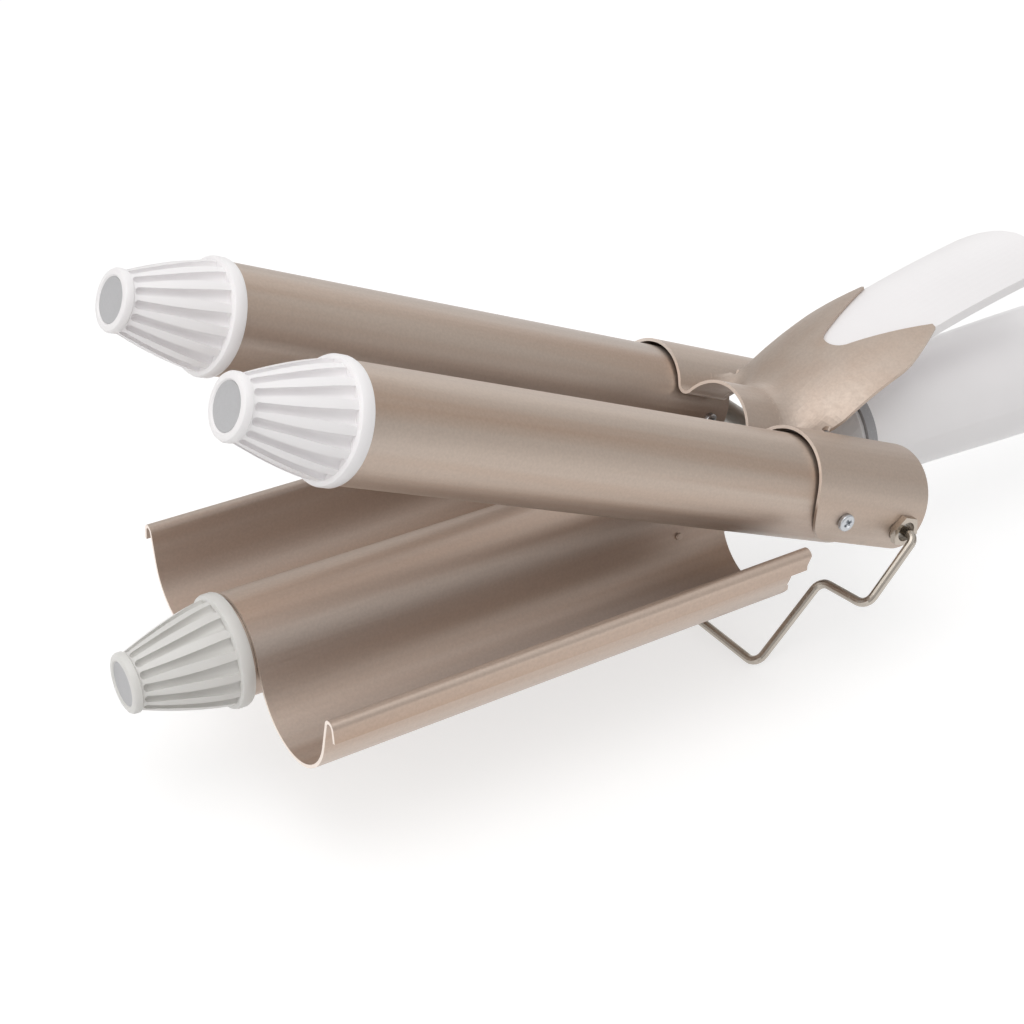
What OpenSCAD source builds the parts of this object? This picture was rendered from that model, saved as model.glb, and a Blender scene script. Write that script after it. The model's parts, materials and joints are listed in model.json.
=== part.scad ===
// Triple-barrel hair waver: two upper barrels on a hinged saddle bracket with a thumb lever,
// a wave plate on the handle, a wire stand, and a handle with display and buttons.
// Millimetres, +Z up. The handle axis and the lower jaw run along X, the tips point to -X.
// The design frame has its zero on the jaw hinge axis. row() moves it to the middle of the
// overall box, at the height of the stand's foot.

/* [Upper barrels] */
// Outer diameter of the two upper barrels
barrel_d = 25; // [22:0.5:26]
// Wall of every barrel tube
barrel_wall = 0.8; // [0.6:0.1:1.4]
// Distance between the two upper barrel axes
barrel_pitch = 54; // [53:0.5:60]
// Hinge axis to the front end of the upper barrels
barrel_front = 161; // [130:1:190]
// How far in front of the hinge axis the upper barrels end
barrel_end = 13.8; // [12:0.2:15]
// Length of the plug in a barrel's rear end
plug_len = 12; // [10:1:16]
// Radius of the plug's lead hole
lead_r = 4; // [2.5:0.5:6]
// Height of the upper barrel axes above the hinge when the jaws are closed
barrel_lift = 2; // [1:0.25:3]
// Angle at which the jaws stand open at rest
jaw_open = 23; // [0:1:30]

/* [Lower jaw] */
// Outer diameter of the centre tube
core_d = 23; // [20:0.5:23.5]
// Drop of the centre tube axis below the hinge
core_drop = 0.9; // [0:0.1:2]
// Hinge axis to the front end of the centre tube
core_front = 161; // [130:1:190]
// Thickness of the wave plate
plate_t = 0.8; // [0.5:0.1:1.2]
// Length of the wave plate's middle part
plate_len = 126.5; // [90:0.5:127]
// How far the outer walls end in front of the middle part
rail_notch = 1.4; // [0.5:0.1:4]
// Hair gap between an upper barrel and its trough
hair_gap = 1.5; // [1:0.1:2.5]
// Lean of the trough's outer wall
wall_lean = 12; // [6:1:18]
// Height of the straight outer wall
wall_len = 7.3; // [5:0.1:12]
// Inner bend radius of the rolled lip
lip_r = 1; // [0.8:0.1:1.6]
// Length of the lip's turned-down edge
lip_len = 2.9; // [2:0.1:5]
// Flare of the lip's turned-down edge
lip_flare = 9; // [0:1:30]
// Hinge axis to the rear end of the centre tube
neck_front = 12; // [11:0.5:13]
// Length of a heater
heater_len = 100; // [60:1:110]
// Thickness of a heater's ceramic slab
slab_t = 3.4; // [2.6:0.2:4.4]

/* [Tip caps] */
// Length of a cap in front of its barrel
cap_len = 25.6; // [20:0.2:32]
// How far the cap flange stands out past its barrel's radius
flange_over = 0.7; // [0.3:0.1:1.2]
// Thickness of the cap flange
flange_t = 3.4; // [2:0.2:4]
// Radius of the ring at the tip
tip_r = 6.9; // [6:0.1:7.8]
// Length of the ring at the tip
tip_ring_len = 2.2; // [1.6:0.1:3]
// Radius of the recess in the tip
tip_bore_r = 5; // [4:0.1:5.4]
// Depth of the recess in the tip
tip_depth = 1.2; // [0.8:0.1:3]
// Number of flutes round a cap
flutes = 16; // [12:1:20]
// Radius of a flute at the flange
flute_r = 1.75; // [1.4:0.05:1.9]
// Radius of a flute at the tip ring
flute_end_r = 0.95; // [0.8:0.05:1.05]
// Length of the cap's spigot inside the barrel
spigot_len = 9; // [5:0.5:14]

/* [Saddle bracket] */
// Thickness of the saddle sheet
saddle_t = 0.8; // [0.6:0.1:1.2]
// Hinge axis to the front edge of the saddle
saddle_front = 33.2; // [30:0.2:36]
// Hinge axis to the rear edge of the saddle
saddle_rear = 6.4; // [5:0.2:8]
// Outer radius of the valley between two arches
valley_r = 2.2; // [1.6:0.1:3]
// Radius of the saddle's swept lower front corner
corner_r = 14; // [10:0.5:14.5]
// Radius of the saddle's lower rear corner
tail_corner_r = 2.4; // [1:0.2:4]
// How far the skirts reach below the barrel axes
skirt_drop = 9; // [7:0.5:10]
// Hinge axis to the saddle screws
screw_back = 21.2; // [18:0.2:23]
// Hinge axis to the screws on the inner sides
inner_back = 19.4; // [18:0.2:23]
// Shank diameter of the saddle screws
screw_d = 2.2; // [2:0.1:2.9]
// Head diameter of the saddle screws
screw_head_d = 4.4; // [4:0.1:5.2]
// Height of the saddle screws' heads
screw_head_t = 1.1; // [0.9:0.1:1.6]

/* [Lever and thumb rest] */
// Hinge axis to the line where the lever leaves the middle arch
lever_start = 21.5; // [20:0.5:24]
// Length of the fillet at the lever's root
lever_fillet = 8; // [6:0.5:12]
// Steepest slope of the lever, with the jaws closed
lever_rise = 57; // [50:1:62]
// How much the slope eases towards the end
lever_ease = 27; // [20:1:32]
// Length of the lever sheet along its middle, to the fork tips
lever_len = 46.5; // [42:0.5:52]
// Half width of the lever
lever_w = 18.3; // [16:0.2:19]
// Half width between the fork tips
fork_w = 13.8; // [12:0.2:15]
// Length along the lever at which the fork's notch starts
notch_s = 22.8; // [21:0.2:30]
// Radius at the bottom of the notch
notch_r = 4.6; // [3:0.2:5]
// Radius of the relief holes beside the lever's root
relief_r = 1; // [0.8:0.1:1.4]
// Lever's start to the relief holes
relief_back = 7.8; // [7:0.1:9]
// Arch height of the lever's section
lever_sag = 5.5; // [4:0.5:7]
// Length along the lever at which the thumb rest ends
thumb_len = 90; // [75:1:96]
// Thickness of the thumb rest
thumb_t = 2.6; // [2:0.2:3.4]

/* [Hinge and stand] */
// Diameter of the hinge rod
rod_d = 5; // [4:0.2:6]
// Width across flats of the pivot nuts
nut_af = 7.2; // [7:0.2:10]
// Thickness of a pivot nut's head
nut_t = 1.6; // [1.5:0.1:3]
// Diameter of the stand wire
wire_d = 2.3; // [1.8:0.1:2.6]
// Bend radius of the stand wire
bend_r = 3; // [2.2:0.2:4]
// Length of the stand, hinge axis to foot
stand_len = 48; // [40:1:56]
// Length along the stand at which its legs step inwards
stand_step = 20.3; // [17.5:0.5:24]
// Half width of the stand's foot
foot_w = 31; // [24:1:36]
// Angle of the stand below the forward direction
stand_angle = 45; // [40:1:60]
// Wire diameter of the closing spring
spring_wire = 1.4; // [1:0.1:1.5]
// Number of turns of the closing spring
spring_turns = 7; // [4:1:7]

/* [Handle] */
// Height of the handle axis above the hinge
handle_lift = 4; // [2:0.5:5]
// Hinge axis to the front ring
ring_x = 11.5; // [11:0.5:13]
// Width of the front ring
ring_w = 3; // [2:0.25:5]
// Radius of the front ring
ring_r = 15.5; // [15:0.25:16.5]
// Hinge axis to the rear end of the handle
handle_end = 160; // [150:1:175]
// Greatest radius of the handle
grip_r = 17; // [16:0.25:19]
// Radius of the handle's rear end
tail_r = 14; // [13:0.25:15.5]
// Wall of the handle shells
shell_t = 2.2; // [1.8:0.1:3]
// Diameter of the neck, which carries the hinge rod
neck_d = 22.8; // [20:0.2:23]
// Shank diameter of the handle screws
hscrew_d = 3; // [2.5:0.1:3.5]
// Height of the handle screws' heads
hscrew_head_t = 1.6; // [1.2:0.1:2]
// Length of the cord gland behind the handle
gland_len = 14; // [8:0.5:20]
// Diameter of the cord hole in the gland
gland_bore = 6.5; // [5:0.25:7.5]
// Diameter of the gland's outlet
gland_d = 11; // [10:0.5:13]

/* [Controls] */
// Hinge axis to the power button
power_x = 88; // [84:1:92]
// Diameter of the power button
power_d = 9; // [7:0.5:10]
// Hinge axis to the minus button
minus_x = 101; // [99:1:103]
// Distance between the minus and plus buttons
key_pitch = 10; // [9:0.5:11]
// Diameter of the minus and plus buttons
key_d = 7; // [5:0.5:7.5]
// Travel of the buttons
key_travel = 0.8; // [0.4:0.1:1]
// Hinge axis to the front edge of the display window
window_x = 119; // [118:0.5:121]
// Length of the display window
window_len = 16; // [12:1:18]
// Width of the display window
window_w = 10; // [8:0.5:12]

/* [Fits] */
// Difference between the radius of the saddle's arches and the barrels'
skin_gap = 0.45; // [0.4:0.05:0.6]
// How far the arches' axes lie above the barrels', so that the gap is widest at the top
skin_lift = 0.45; // [0.2:0.05:0.5]
// Radial clearance of the hinge rod and the stand wire
run_gap = 0.05; // [0.02:0.01:0.08]
// Gap between fixed pieces that fit together
seat_gap = 0.1; // [0.05:0.05:0.2]
// Gap round a button
key_gap = 0.35; // [0.3:0.05:0.5]

/* [Hidden] */
$fn = 64;
eps = 0.01;
// what runs smoothly into an arc lies this far inside it, and so crosses it
nip = 0.004;
big = 300;

// barrels and saddle
barrel_r = barrel_d / 2;
half_pitch = barrel_pitch / 2;
bore_r = barrel_r - barrel_wall;
skin_ri = barrel_r + skin_gap;
skin_ro = skin_ri + saddle_t;
valley_y = half_pitch / 2;
arch_lift = barrel_lift + skin_lift;
valley_z = arch_lift + sqrt(pow(skin_ro + valley_r, 2) - pow(valley_y, 2));
side_y = half_pitch + skin_ro;
// lower jaw
core_r = core_d / 2;
core_bore = core_r - barrel_wall;
crest_ri = core_r + seat_gap + 0.06;
crest_ro = crest_ri + plate_t;
trough_r = barrel_r + hair_gap;
trough_z = barrel_lift - 0.4;
plate_front = core_front - 0.8;
plate_rear = plate_front - plate_len;
neck_r = neck_d / 2;
// hinge, nuts and stand
nut_in = side_y + 0.05;
nut_out = nut_in + nut_t;
sleeve_r = rod_d / 2 + run_gap + 0.75;
sleeve_in = side_y - saddle_t - 1.2;
rod_half = nut_out - 1.5;
spacer_r = 3.6;
wire_r = wire_d / 2;
pin_r = wire_r * 0.94;
hub_bend_r = 0.9 * wire_d;
leg_y = nut_out + 0.8 + 1.1 * hub_bend_r;
boss_half = neck_r + 0.7;
boss_ro = 5;
collar_x = boss_ro + 0.4;
// handle
shell_x = ring_x + ring_w;
shell_len = handle_end - shell_x;
gland_x = handle_end + gland_len;
boss_xs = [shell_x + 20, handle_end - 14];
boss_r = hscrew_d / 2 + 2;
low_boss_r = boss_r + 0.6;
board_z = handle_lift + 4;
board_t = 1.6;
board_w = 20;
board_x0 = power_x - 12;
board_x1 = window_x + window_len + 6;
post_pin_r = 0.7;
switch_h = 3.2;
plus_x = minus_x + key_pitch;
// overall box
tip_x = -core_front - cap_len;
mid_x = (tip_x + gland_x) / 2;
low_z = stand_len * sin(stand_angle) + wire_r;

// ---- placing ----
module row() { translate([-mid_x, 0, low_z]) children(); }
module jaw() { row() rotate([0, jaw_open, 0]) children(); }
module both() { children(); mirror([0, 1, 0]) children(); }
// turns +Z to -X, so that a turned piece points to the tips
module to_tip() { rotate([0, -90, 0]) children(); }
// turns +Z to +X
module to_tail() { rotate([0, 90, 0]) children(); }
// a round bar along Y from y0 to y1
module bar_y(r, y0, y1, fn = 64) {
    translate([0, y1, 0]) rotate([90, 0, 0]) cylinder(r = r, h = y1 - y0, $fn = fn);
}
module tube_x(ro, ri, x0, x1) {
    translate([x0, 0, 0]) to_tail() difference() {
        cylinder(r = ro, h = x1 - x0);
        translate([0, 0, -1]) cylinder(r = ri, h = x1 - x0 + 2);
    }
}

// ---- barrels ----
// left is -Y
module upper_tube() {
    difference() {
        translate([0, 0, barrel_lift]) tube_x(barrel_r, bore_r, -barrel_front, -barrel_end);
        screw_holes();
    }
}
// one in each side of a barrel
module screw_holes() {
    translate([-screw_back, 0, 0]) bar_y(screw_d / 2 + seat_gap, 0, big);
    translate([-inner_back, 0, barrel_lift]) bar_y(screw_d / 2 + seat_gap, -big, 0);
}
module right_barrel() { color("#b7a596") jaw() translate([0, half_pitch, 0]) upper_tube(); }
module left_barrel() {
    color("#b7a596") jaw() mirror([0, 1, 0]) translate([0, half_pitch, 0]) upper_tube();
}
module centre_barrel() {
    color("#b7a596") row() translate([0, 0, -core_drop])
        difference() {
            tube_x(core_r, core_bore, -core_front, -neck_front);
            translate([0, 0, core_drop]) rivet_hole();
        }
}

// ---- tip caps ----
body_len = cap_len - flange_t - tip_ring_len;
body_end_r = tip_r - 0.45;
// radius of the fluted body at a share t of its length
function body_r(t, r0) = body_end_r + (r0 - body_end_r) * (1 - pow(t, 1.35));
module tip_cap(r_out, r_in) {
    root_r = r_out - 0.4;
    steps = 8;
    fr = r_out + flange_over;
    fe = flange_t * 0.25;
    spigot_r = r_in - seat_gap;
    difference() {
        rotate_extrude() polygon(concat(
            [[0, -spigot_len + 1.2], [spigot_r - 1.4, -spigot_len + 1.2], [spigot_r - 1.4, -spigot_len],
             [spigot_r, -spigot_len], [spigot_r, 0], [fr - fe, 0], [fr, fe], [fr, flange_t - fe],
             [fr - fe, flange_t]],
            [for (i = [0:steps]) [body_r(i / steps, root_r), flange_t + body_len * i / steps]],
            [[tip_r, cap_len - tip_ring_len + 0.4], [tip_r, cap_len - 0.8],
             [tip_r - 0.3, cap_len - 0.25], [tip_r - 0.8, cap_len], [tip_bore_r + 0.3, cap_len],
             [tip_bore_r, cap_len - 0.3], [tip_bore_r, cap_len - tip_depth],
             [0, cap_len - tip_depth]]));
        for (i = [0:flutes - 1]) rotate([0, 0, (i + 0.5) * 360 / flutes]) flute(root_r);
        translate([0, 0, -spigot_len - 1]) cylinder(r = spigot_r - 1.4, h = spigot_len + 1);
    }
}
// a tapered cutter whose axis lies just over the body, from the flange to behind the tip ring
module flute(root_r) {
    over = 0.4;
    run = body_len - flute_end_r - 0.2;
    tilt = atan2(root_r - body_end_r, run);
    translate([root_r + over, 0, flange_t + 0.05]) rotate([0, -tilt, 0]) {
        cylinder(r1 = flute_r, r2 = flute_end_r, h = run / cos(tilt), $fn = 24);
        translate([0, 0, run / cos(tilt)]) sphere(r = flute_end_r, $fn = 24);
    }
}
module right_cap() {
    color("white") jaw() translate([-barrel_front, half_pitch, barrel_lift])
        to_tip() tip_cap(barrel_r, bore_r);
}
module left_cap() {
    color("white") jaw() translate([-barrel_front, -half_pitch, barrel_lift])
        to_tip() tip_cap(barrel_r, bore_r);
}
module centre_cap() {
    color("whitesmoke") row() translate([-core_front, 0, -core_drop])
        to_tip() tip_cap(barrel_r, core_bore);
}

// ---- heaters, with the two aluminium spreaders round a ceramic slab ----
module heater(r_in, x0) {
    r = r_in - 0.2;
    translate([x0, 0, 0]) {
        for (m = [0, 1]) mirror([0, 0, m]) intersection() {
            tube_x(r, r - 2, 0, heater_len);
            translate([-1, -big, slab_t / 2 + seat_gap]) cube([heater_len + 2, 2 * big, big]);
        }
        translate([2, -r + 2.4, -slab_t / 2]) cube([heater_len - 4, 2 * r - 4.8, slab_t]);
    }
}
module right_heater() {
    color("silver") jaw() translate([0, half_pitch, barrel_lift]) heater(bore_r, 12 - barrel_front);
}
module left_heater() {
    color("silver") jaw() translate([0, -half_pitch, barrel_lift]) heater(bore_r, 12 - barrel_front);
}
module centre_heater() {
    color("silver") row() translate([0, 0, -core_drop]) heater(core_bore, 12 - core_front);
}

// ---- plugs in the rear ends of the upper barrels: the screws bite in them, leads pass ----
module rear_plugs() {
    color("#3a3a3c") jaw() both() translate([0, half_pitch, 0]) difference() {
        translate([0, 0, barrel_lift])
            tube_x(bore_r - seat_gap, lead_r, -barrel_end - plug_len, -barrel_end);
        screw_holes();
    }
}

// ---- saddle bracket and lever ----
// filled outline of the three arches: circles at the barrels' pitch with valley fillets
module arches2d(grow) {
    r = skin_ri + grow;
    v = valley_r + saddle_t - grow;
    for (y = [-half_pitch, 0, half_pitch]) translate([y, arch_lift]) circle(r = r);
    difference() {
        for (s = [-1, 1]) polygon([[0, arch_lift], [s * half_pitch, arch_lift],
            [s * valley_y, valley_z]]);
        for (s = [-1, 1]) translate([s * valley_y, valley_z]) circle(r = v + nip);
    }
}
// what a rounded lower corner of radius r takes off the skirts, with its edges in x = 0 and z = 0
module corner_cut(r) {
    difference() {
        translate([-1, -big, -1]) cube([r + 1, 2 * big, r + 1]);
        translate([r, 0, r]) bar_y(r, -big - 1, big + 1);
    }
}
module saddle_sheet() {
    skirt_z = barrel_lift - skirt_drop;
    difference() {
        // 2D x is design Y, 2D y is design Z
        translate([-saddle_front, 0, 0]) rotate([90, 0, 90])
            linear_extrude(height = saddle_front + saddle_rear) difference() {
                arches2d(saddle_t);
                arches2d(0);
                translate([-half_pitch, arch_lift - big]) square([barrel_pitch, big]);
            }
        // below the skirts' edge
        translate([-big, -big, skirt_z - big]) cube([2 * big, 2 * big, big]);
        translate([-saddle_front, 0, skirt_z]) corner_cut(corner_r);
        translate([saddle_rear, 0, skirt_z]) mirror([1, 0, 0]) corner_cut(tail_corner_r);
        // behind the middle arch the sheet is open between the barrels
        translate([-lever_start + 1.5, -lever_w + 0.6, barrel_lift])
            cube([big, 2 * lever_w - 1.2, big]);
    }
}
// height of the three-arch surface over y, for a radius grown by g from the sheet's top
function arch_z(y, g) = let (a = abs(y), r = skin_ro + g, v = valley_r - g,
        ty = valley_y * r / (skin_ro + valley_r))
    a < ty ? arch_lift + sqrt(r * r - a * a)
    : a < half_pitch - ty ? valley_z - sqrt(v * v - pow(a - valley_y, 2))
    : arch_lift + sqrt(r * r - pow(a - half_pitch, 2));
// slope of the lever's middle line at length s
function slope(s) = s < lever_fillet ? lever_rise * s / lever_fillet
    : lever_rise - lever_ease * (1 - exp(-(s - lever_fillet) / 32));
spine_step = 0.5;
spine = [for (i = 0, x = -lever_start, z = arch_lift + skin_ro; i <= 200;
    x = x + spine_step * cos(slope((i + 0.5) * spine_step)),
    z = z + spine_step * sin(slope((i + 0.5) * spine_step)), i = i + 1) [x, z]];
function spine_at(s) = spine[round(s / spine_step)];
function smooth(t) = let (c = max(0, min(1, t))) c * c * (3 - 2 * c);
// a point of the lever surface at length s, width y and height g over the sheet's top
function lever_pt(s, y, g) = let (b = smooth(s / 10), p = spine_at(s), a = slope(s),
        d = g - lever_sag * pow(y / lever_w, 2))
    [p[0] - b * d * sin(a), y,
     (1 - b) * (arch_z(y, min(g, 0.1)) + (p[1] - spine[0][1])) + b * (p[1] + d * cos(a))
     + (1 - b) * (g < 0 ? g - min(g, 0.1) : 0)];
// a closed curved plate between two heights over the lever surface, with points at the given
// shares of its half width
module ribbon(ss, ws, g0, g1, half) {
    ns = len(ss) - 1;
    across = concat([for (i = [len(half) - 1:-1:1]) -half[i]], half);
    row_n = len(across);
    pts = [for (g = [g1, g0]) for (i = [0:ns]) for (t = across) lever_pt(ss[i], ws[i] * t, g)];
    off = row_n * (ns + 1);
    function id(k, i, j) = k * off + i * row_n + j;
    top = [for (i = [0:ns - 1]) for (j = [0:row_n - 2])
        each [[id(0, i, j), id(0, i, j + 1), id(0, i + 1, j + 1)],
              [id(0, i, j), id(0, i + 1, j + 1), id(0, i + 1, j)]]];
    bot = [for (i = [0:ns - 1]) for (j = [0:row_n - 2])
        each [[id(1, i, j), id(1, i + 1, j + 1), id(1, i, j + 1)],
              [id(1, i, j), id(1, i + 1, j), id(1, i + 1, j + 1)]]];
    sides = [for (i = [0:ns - 1]) for (e = [0, row_n - 1])
        let (q = [id(0, i, e), id(0, i + 1, e), id(1, i + 1, e), id(1, i, e)])
        each (e == 0 ? [[q[0], q[1], q[2]], [q[0], q[2], q[3]]]
                     : [[q[0], q[2], q[1]], [q[0], q[3], q[2]]])];
    ends = [for (j = [0:row_n - 2]) for (i = [0, ns])
        let (q = [id(0, i, j), id(0, i, j + 1), id(1, i, j + 1), id(1, i, j)])
        each (i == 0 ? [[q[0], q[2], q[1]], [q[0], q[3], q[2]]]
                     : [[q[0], q[1], q[2]], [q[0], q[2], q[3]]])];
    polyhedron(points = pts, faces = concat(top, bot, sides, ends));
}
function lever_half(s) = let (s1 = lever_len - 15) s < s1 ? lever_w
    : lever_w - (lever_w - fork_w) * pow((s - s1) / (lever_len - s1), 1.4);
// steps along the lever, closer at its root, and across it, closer where it leaves the valleys
lever_ss = concat([for (s = [0:1:11]) s], [for (s = [13:3:lever_len - 0.1]) s], [lever_len]);
lever_shares = concat([for (t = [0:0.1:0.5]) t], [for (t = [0.57:0.04:0.9]) t], [0.95, 1]);
// how far the lever's faces stand out of the arch's
lever_proud = 0.03;
module lever_sheet() {
    ribbon(lever_ss, [for (s = lever_ss) lever_half(s)], -saddle_t - lever_proud, lever_proud,
        lever_shares);
}
// fork notch: a round-bottomed wedge cut square through the sheet
module notch() {
    p = spine_at(notch_s);
    a = slope((notch_s + lever_len) / 2);
    run = lever_len - notch_s + 3;
    out = (fork_w - 0.9 - notch_r) / (lever_len - notch_s - notch_r);
    tip = fork_w - 0.9 + out * 3;
    start = [notch_r, 0] + (notch_r - nip) * [-sin(atan(out)), cos(atan(out))];
    translate([p[0], 0, p[1]]) rotate([0, -a, 0]) translate([0, 0, -20])
        linear_extrude(height = 40) {
            translate([notch_r, 0]) circle(r = notch_r);
            polygon([[start[0], -start[1]], [run, -tip], [run, tip], start]);
        }
}
module saddle_bracket() {
    color("#b7a596") jaw() difference() {
        union() {
            saddle_sheet();
            difference() {
                lever_sheet();
                notch();
            }
        }
        bar_y(sleeve_r + seat_gap, -big, big);
        translate([-screw_back, 0, 0]) bar_y(screw_d / 2 + seat_gap, -big, big);
        both() translate([relief_back - lever_start, lever_w - 0.4, arch_lift])
            cylinder(r = relief_r, h = big);
    }
}
function thumb_half(s) = let (w = fork_w - 0.6, e = 11, e0 = thumb_len - e)
    s < lever_len ? w - 2.4 * pow((lever_len - s) / (lever_len - notch_s + 3), 2)
    : s < e0 ? w : max(1.6, w * sqrt(1 - pow((s - e0) / e, 2)));
thumb_ss = concat([for (s = [notch_s - 3:4:thumb_len - 12]) s],
    [for (k = [-11, -9, -7, -5, -3.5, -2, -1, 0]) thumb_len + k]);
module thumb_rest() {
    top = -saddle_t - lever_proud - seat_gap;
    color("white") jaw() ribbon(thumb_ss, [for (s = thumb_ss) thumb_half(s)], top - thumb_t, top,
        [for (t = [0:0.125:1]) t]);
}

// ---- fasteners of the upper jaw ----
module pan_screw(d, head_d, len, head_t) {
    // the head's underside lies in z = 0, the shank points to -Z
    rotate_extrude() polygon([[0, -len], [d / 2 - 0.5, -len], [d / 2, -len + 1], [d / 2, 0],
        [head_d / 2, 0], [head_d / 2, 0.4 * head_t], [head_d / 2 - 0.5, 0.8 * head_t],
        [head_d / 4, head_t], [0, head_t]]);
}
module saddle_screws() {
    color("#c9ccd0") jaw() both() {
        translate([-screw_back, side_y + 0.05, 0]) rotate([-90, 0, 0])
            pan_screw(screw_d, screw_head_d, 6, screw_head_t);
        translate([-inner_back, half_pitch - barrel_r - 0.05, barrel_lift]) rotate([90, 0, 0])
            pan_screw(screw_d, screw_head_d - 1, 5, screw_head_t);
    }
}
// stepped bush: a hexagon outside the sheet, a sleeve through it
module pivot_nuts() {
    color("#c9ccd0") jaw() both() difference() {
        union() {
            bar_y(sleeve_r, sleeve_in, nut_in + eps);
            bar_y(nut_af / 2 / cos(30), nut_in, nut_out, 6);
        }
        bar_y(rod_d / 2 + run_gap, 0, big);
    }
}

// ---- hinge ----
module hinge_rod() {
    color("silver") row() difference() {
        bar_y(rod_d / 2, -rod_half, rod_half);
        both() bar_y(pin_r + run_gap, rod_half - 7, big);
    }
}
// tubes that keep the neck in the middle between the nuts
module spacer_tubes() {
    color("#c9ccd0") row() both() difference() {
        bar_y(spacer_r, boss_half + 0.05, sleeve_in - 0.3);
        bar_y(rod_d / 2 + run_gap, 0, big);
    }
}
// closing spring, wound round the rod in the neck's slot
module jaw_spring() {
    r = rod_d / 2 + 0.35 + spring_wire / 2;
    pitch = spring_wire * 0.93;
    half = (spring_turns - 1) / 2 * pitch;
    color("#9aa0a6") row() {
        rotate([90, 0, 0]) rotate_extrude() for (i = [0:spring_turns - 1])
            translate([r, i * pitch - half]) circle(r = spring_wire / 2);
        // legs: one rests along the slot, the other stands up to the arch
        translate([0, half, -r]) to_tip() cylinder(r = spring_wire * 0.42, h = 7);
        translate([-r, -half, 0]) cylinder(r = spring_wire * 0.42, h = 10);
    }
}

// ---- stand: one round wire bent in a plane, stepped inwards half way ----
// corners from the hinge to the foot, as [width, reach]
stand_pts = [[rod_half + 0.5, 0], [leg_y, 0], [leg_y + 1, stand_step],
    [foot_w, stand_step + 1.4], [foot_w, stand_len]];
function unit(a, b) = (b - a) / norm(b - a);
// points along the bend of radius r at corner p, on the way from a to b
function bend(a, p, b, r, n = 6) = let (u = unit(p, a), v = unit(p, b), half = acos(u * v) / 2,
        c = p + (u + v) / norm(u + v) * r / sin(half),
        f = p + u * r / tan(half) - c, g = p + v * r / tan(half) - c,
        turn = (f[0] * g[1] - f[1] * g[0] > 0 ? 1 : -1) * (180 - 2 * half))
    [for (k = [0:n]) let (t = turn * k / n)
        c + [f[0] * cos(t) - f[1] * sin(t), f[0] * sin(t) + f[1] * cos(t)]];
function flip(q) = [for (i = [len(q) - 1:-1:0]) [-q[i][0], q[i][1]]];
wire_all = concat(stand_pts, flip(stand_pts));
// the bend beside the nut is tighter
wire_path = concat([wire_all[0]],
    [for (i = [1:len(wire_all) - 2]) each bend(wire_all[i - 1], wire_all[i], wire_all[i + 1],
        abs(wire_all[i][1]) < eps ? hub_bend_r : bend_r)],
    [wire_all[len(wire_all) - 1]]);
// a closed round bar swept along a flat path
module sweep(path, r, sides) {
    n = len(path) - 1;
    pts = [for (i = [0:n]) let (t = unit(path[max(0, i - 1)], path[min(n, i + 1)]))
        for (k = [0:sides - 1]) let (a = 360 * k / sides)
            [path[i][0] - t[1] * r * cos(a), path[i][1] + t[0] * r * cos(a), r * sin(a)]];
    polyhedron(points = pts, faces = concat([for (k = [1:sides - 2]) [0, k, k + 1]],
        [for (i = [0:n - 1]) for (k = [0:sides - 1])
            let (m = (k + 1) % sides, a = i * sides, b = a + sides)
            each [[a + k, b + k, b + m], [a + k, b + m, a + m]]],
        [for (k = [1:sides - 2]) [n * sides, n * sides + k + 1, n * sides + k]]));
}
module wire_stand() {
    color("#b9bcc0") row() {
        // drawn with width in x and reach in y, then laid along Y and swung down and forward
        rotate([0, 180 - stand_angle, 0]) rotate([0, 0, -90]) sweep(wire_path, wire_r, 12);
        both() bar_y(pin_r, rod_half - 6, rod_half + 1.2);
    }
}

// ---- wave plate ----
function polar(a) = [cos(a), sin(a)];
crest_c = [0, -core_drop];
trough_c = [half_pitch, trough_z];
// angle of the straight web between crest and trough
web_ang = atan2(trough_c[1] - crest_c[1], half_pitch)
    + acos((crest_ro + trough_r - 2 * nip) / norm(trough_c - crest_c));
wall_up = wall_len * polar(90 - wall_lean);
lip_c = trough_c + (trough_r + plate_t + lip_r - 2 * nip) * polar(-wall_lean) + wall_up;
lip_down = polar(lip_flare - 90);
// all that lies under the face g below the sheet's upper face
module under(g) {
    lip = lip_r + plate_t - g;
    wall_p = trough_c + (trough_r + g - nip) * polar(-wall_lean);
    lip_p = lip_c + (lip - nip) * polar(lip_flare);
    lip_q = lip_p + (lip_len + 1) * lip_down;
    half = [[lip_q[0], -2 * trough_r - g], lip_q, lip_p, wall_p + wall_up, wall_p, trough_c,
        trough_c - (trough_r + g - nip) * polar(web_ang),
        crest_c + (crest_ro - g - nip) * polar(web_ang)];
    difference() {
        union() {
            translate(crest_c) circle(r = crest_ro - g);
            for (s = [-1, 1]) translate([s * lip_c[0], lip_c[1]]) circle(r = lip);
            polygon(concat(half, flip(half)));
        }
        for (s = [-1, 1]) translate([s * half_pitch, trough_z]) circle(r = trough_r + g);
    }
}
module plate2d() {
    end_p = lip_c + (lip_r - 0.5) * polar(lip_flare) + lip_len * lip_down;
    end_q = end_p + (plate_t + 3) * polar(lip_flare);
    half = [[end_p[0], -big], [end_q[0], -big], end_q, end_p];
    difference() {
        under(0);
        under(plate_t);
        // beyond the lip's edge
        polygon(half);
        polygon(flip(half));
    }
}
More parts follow.
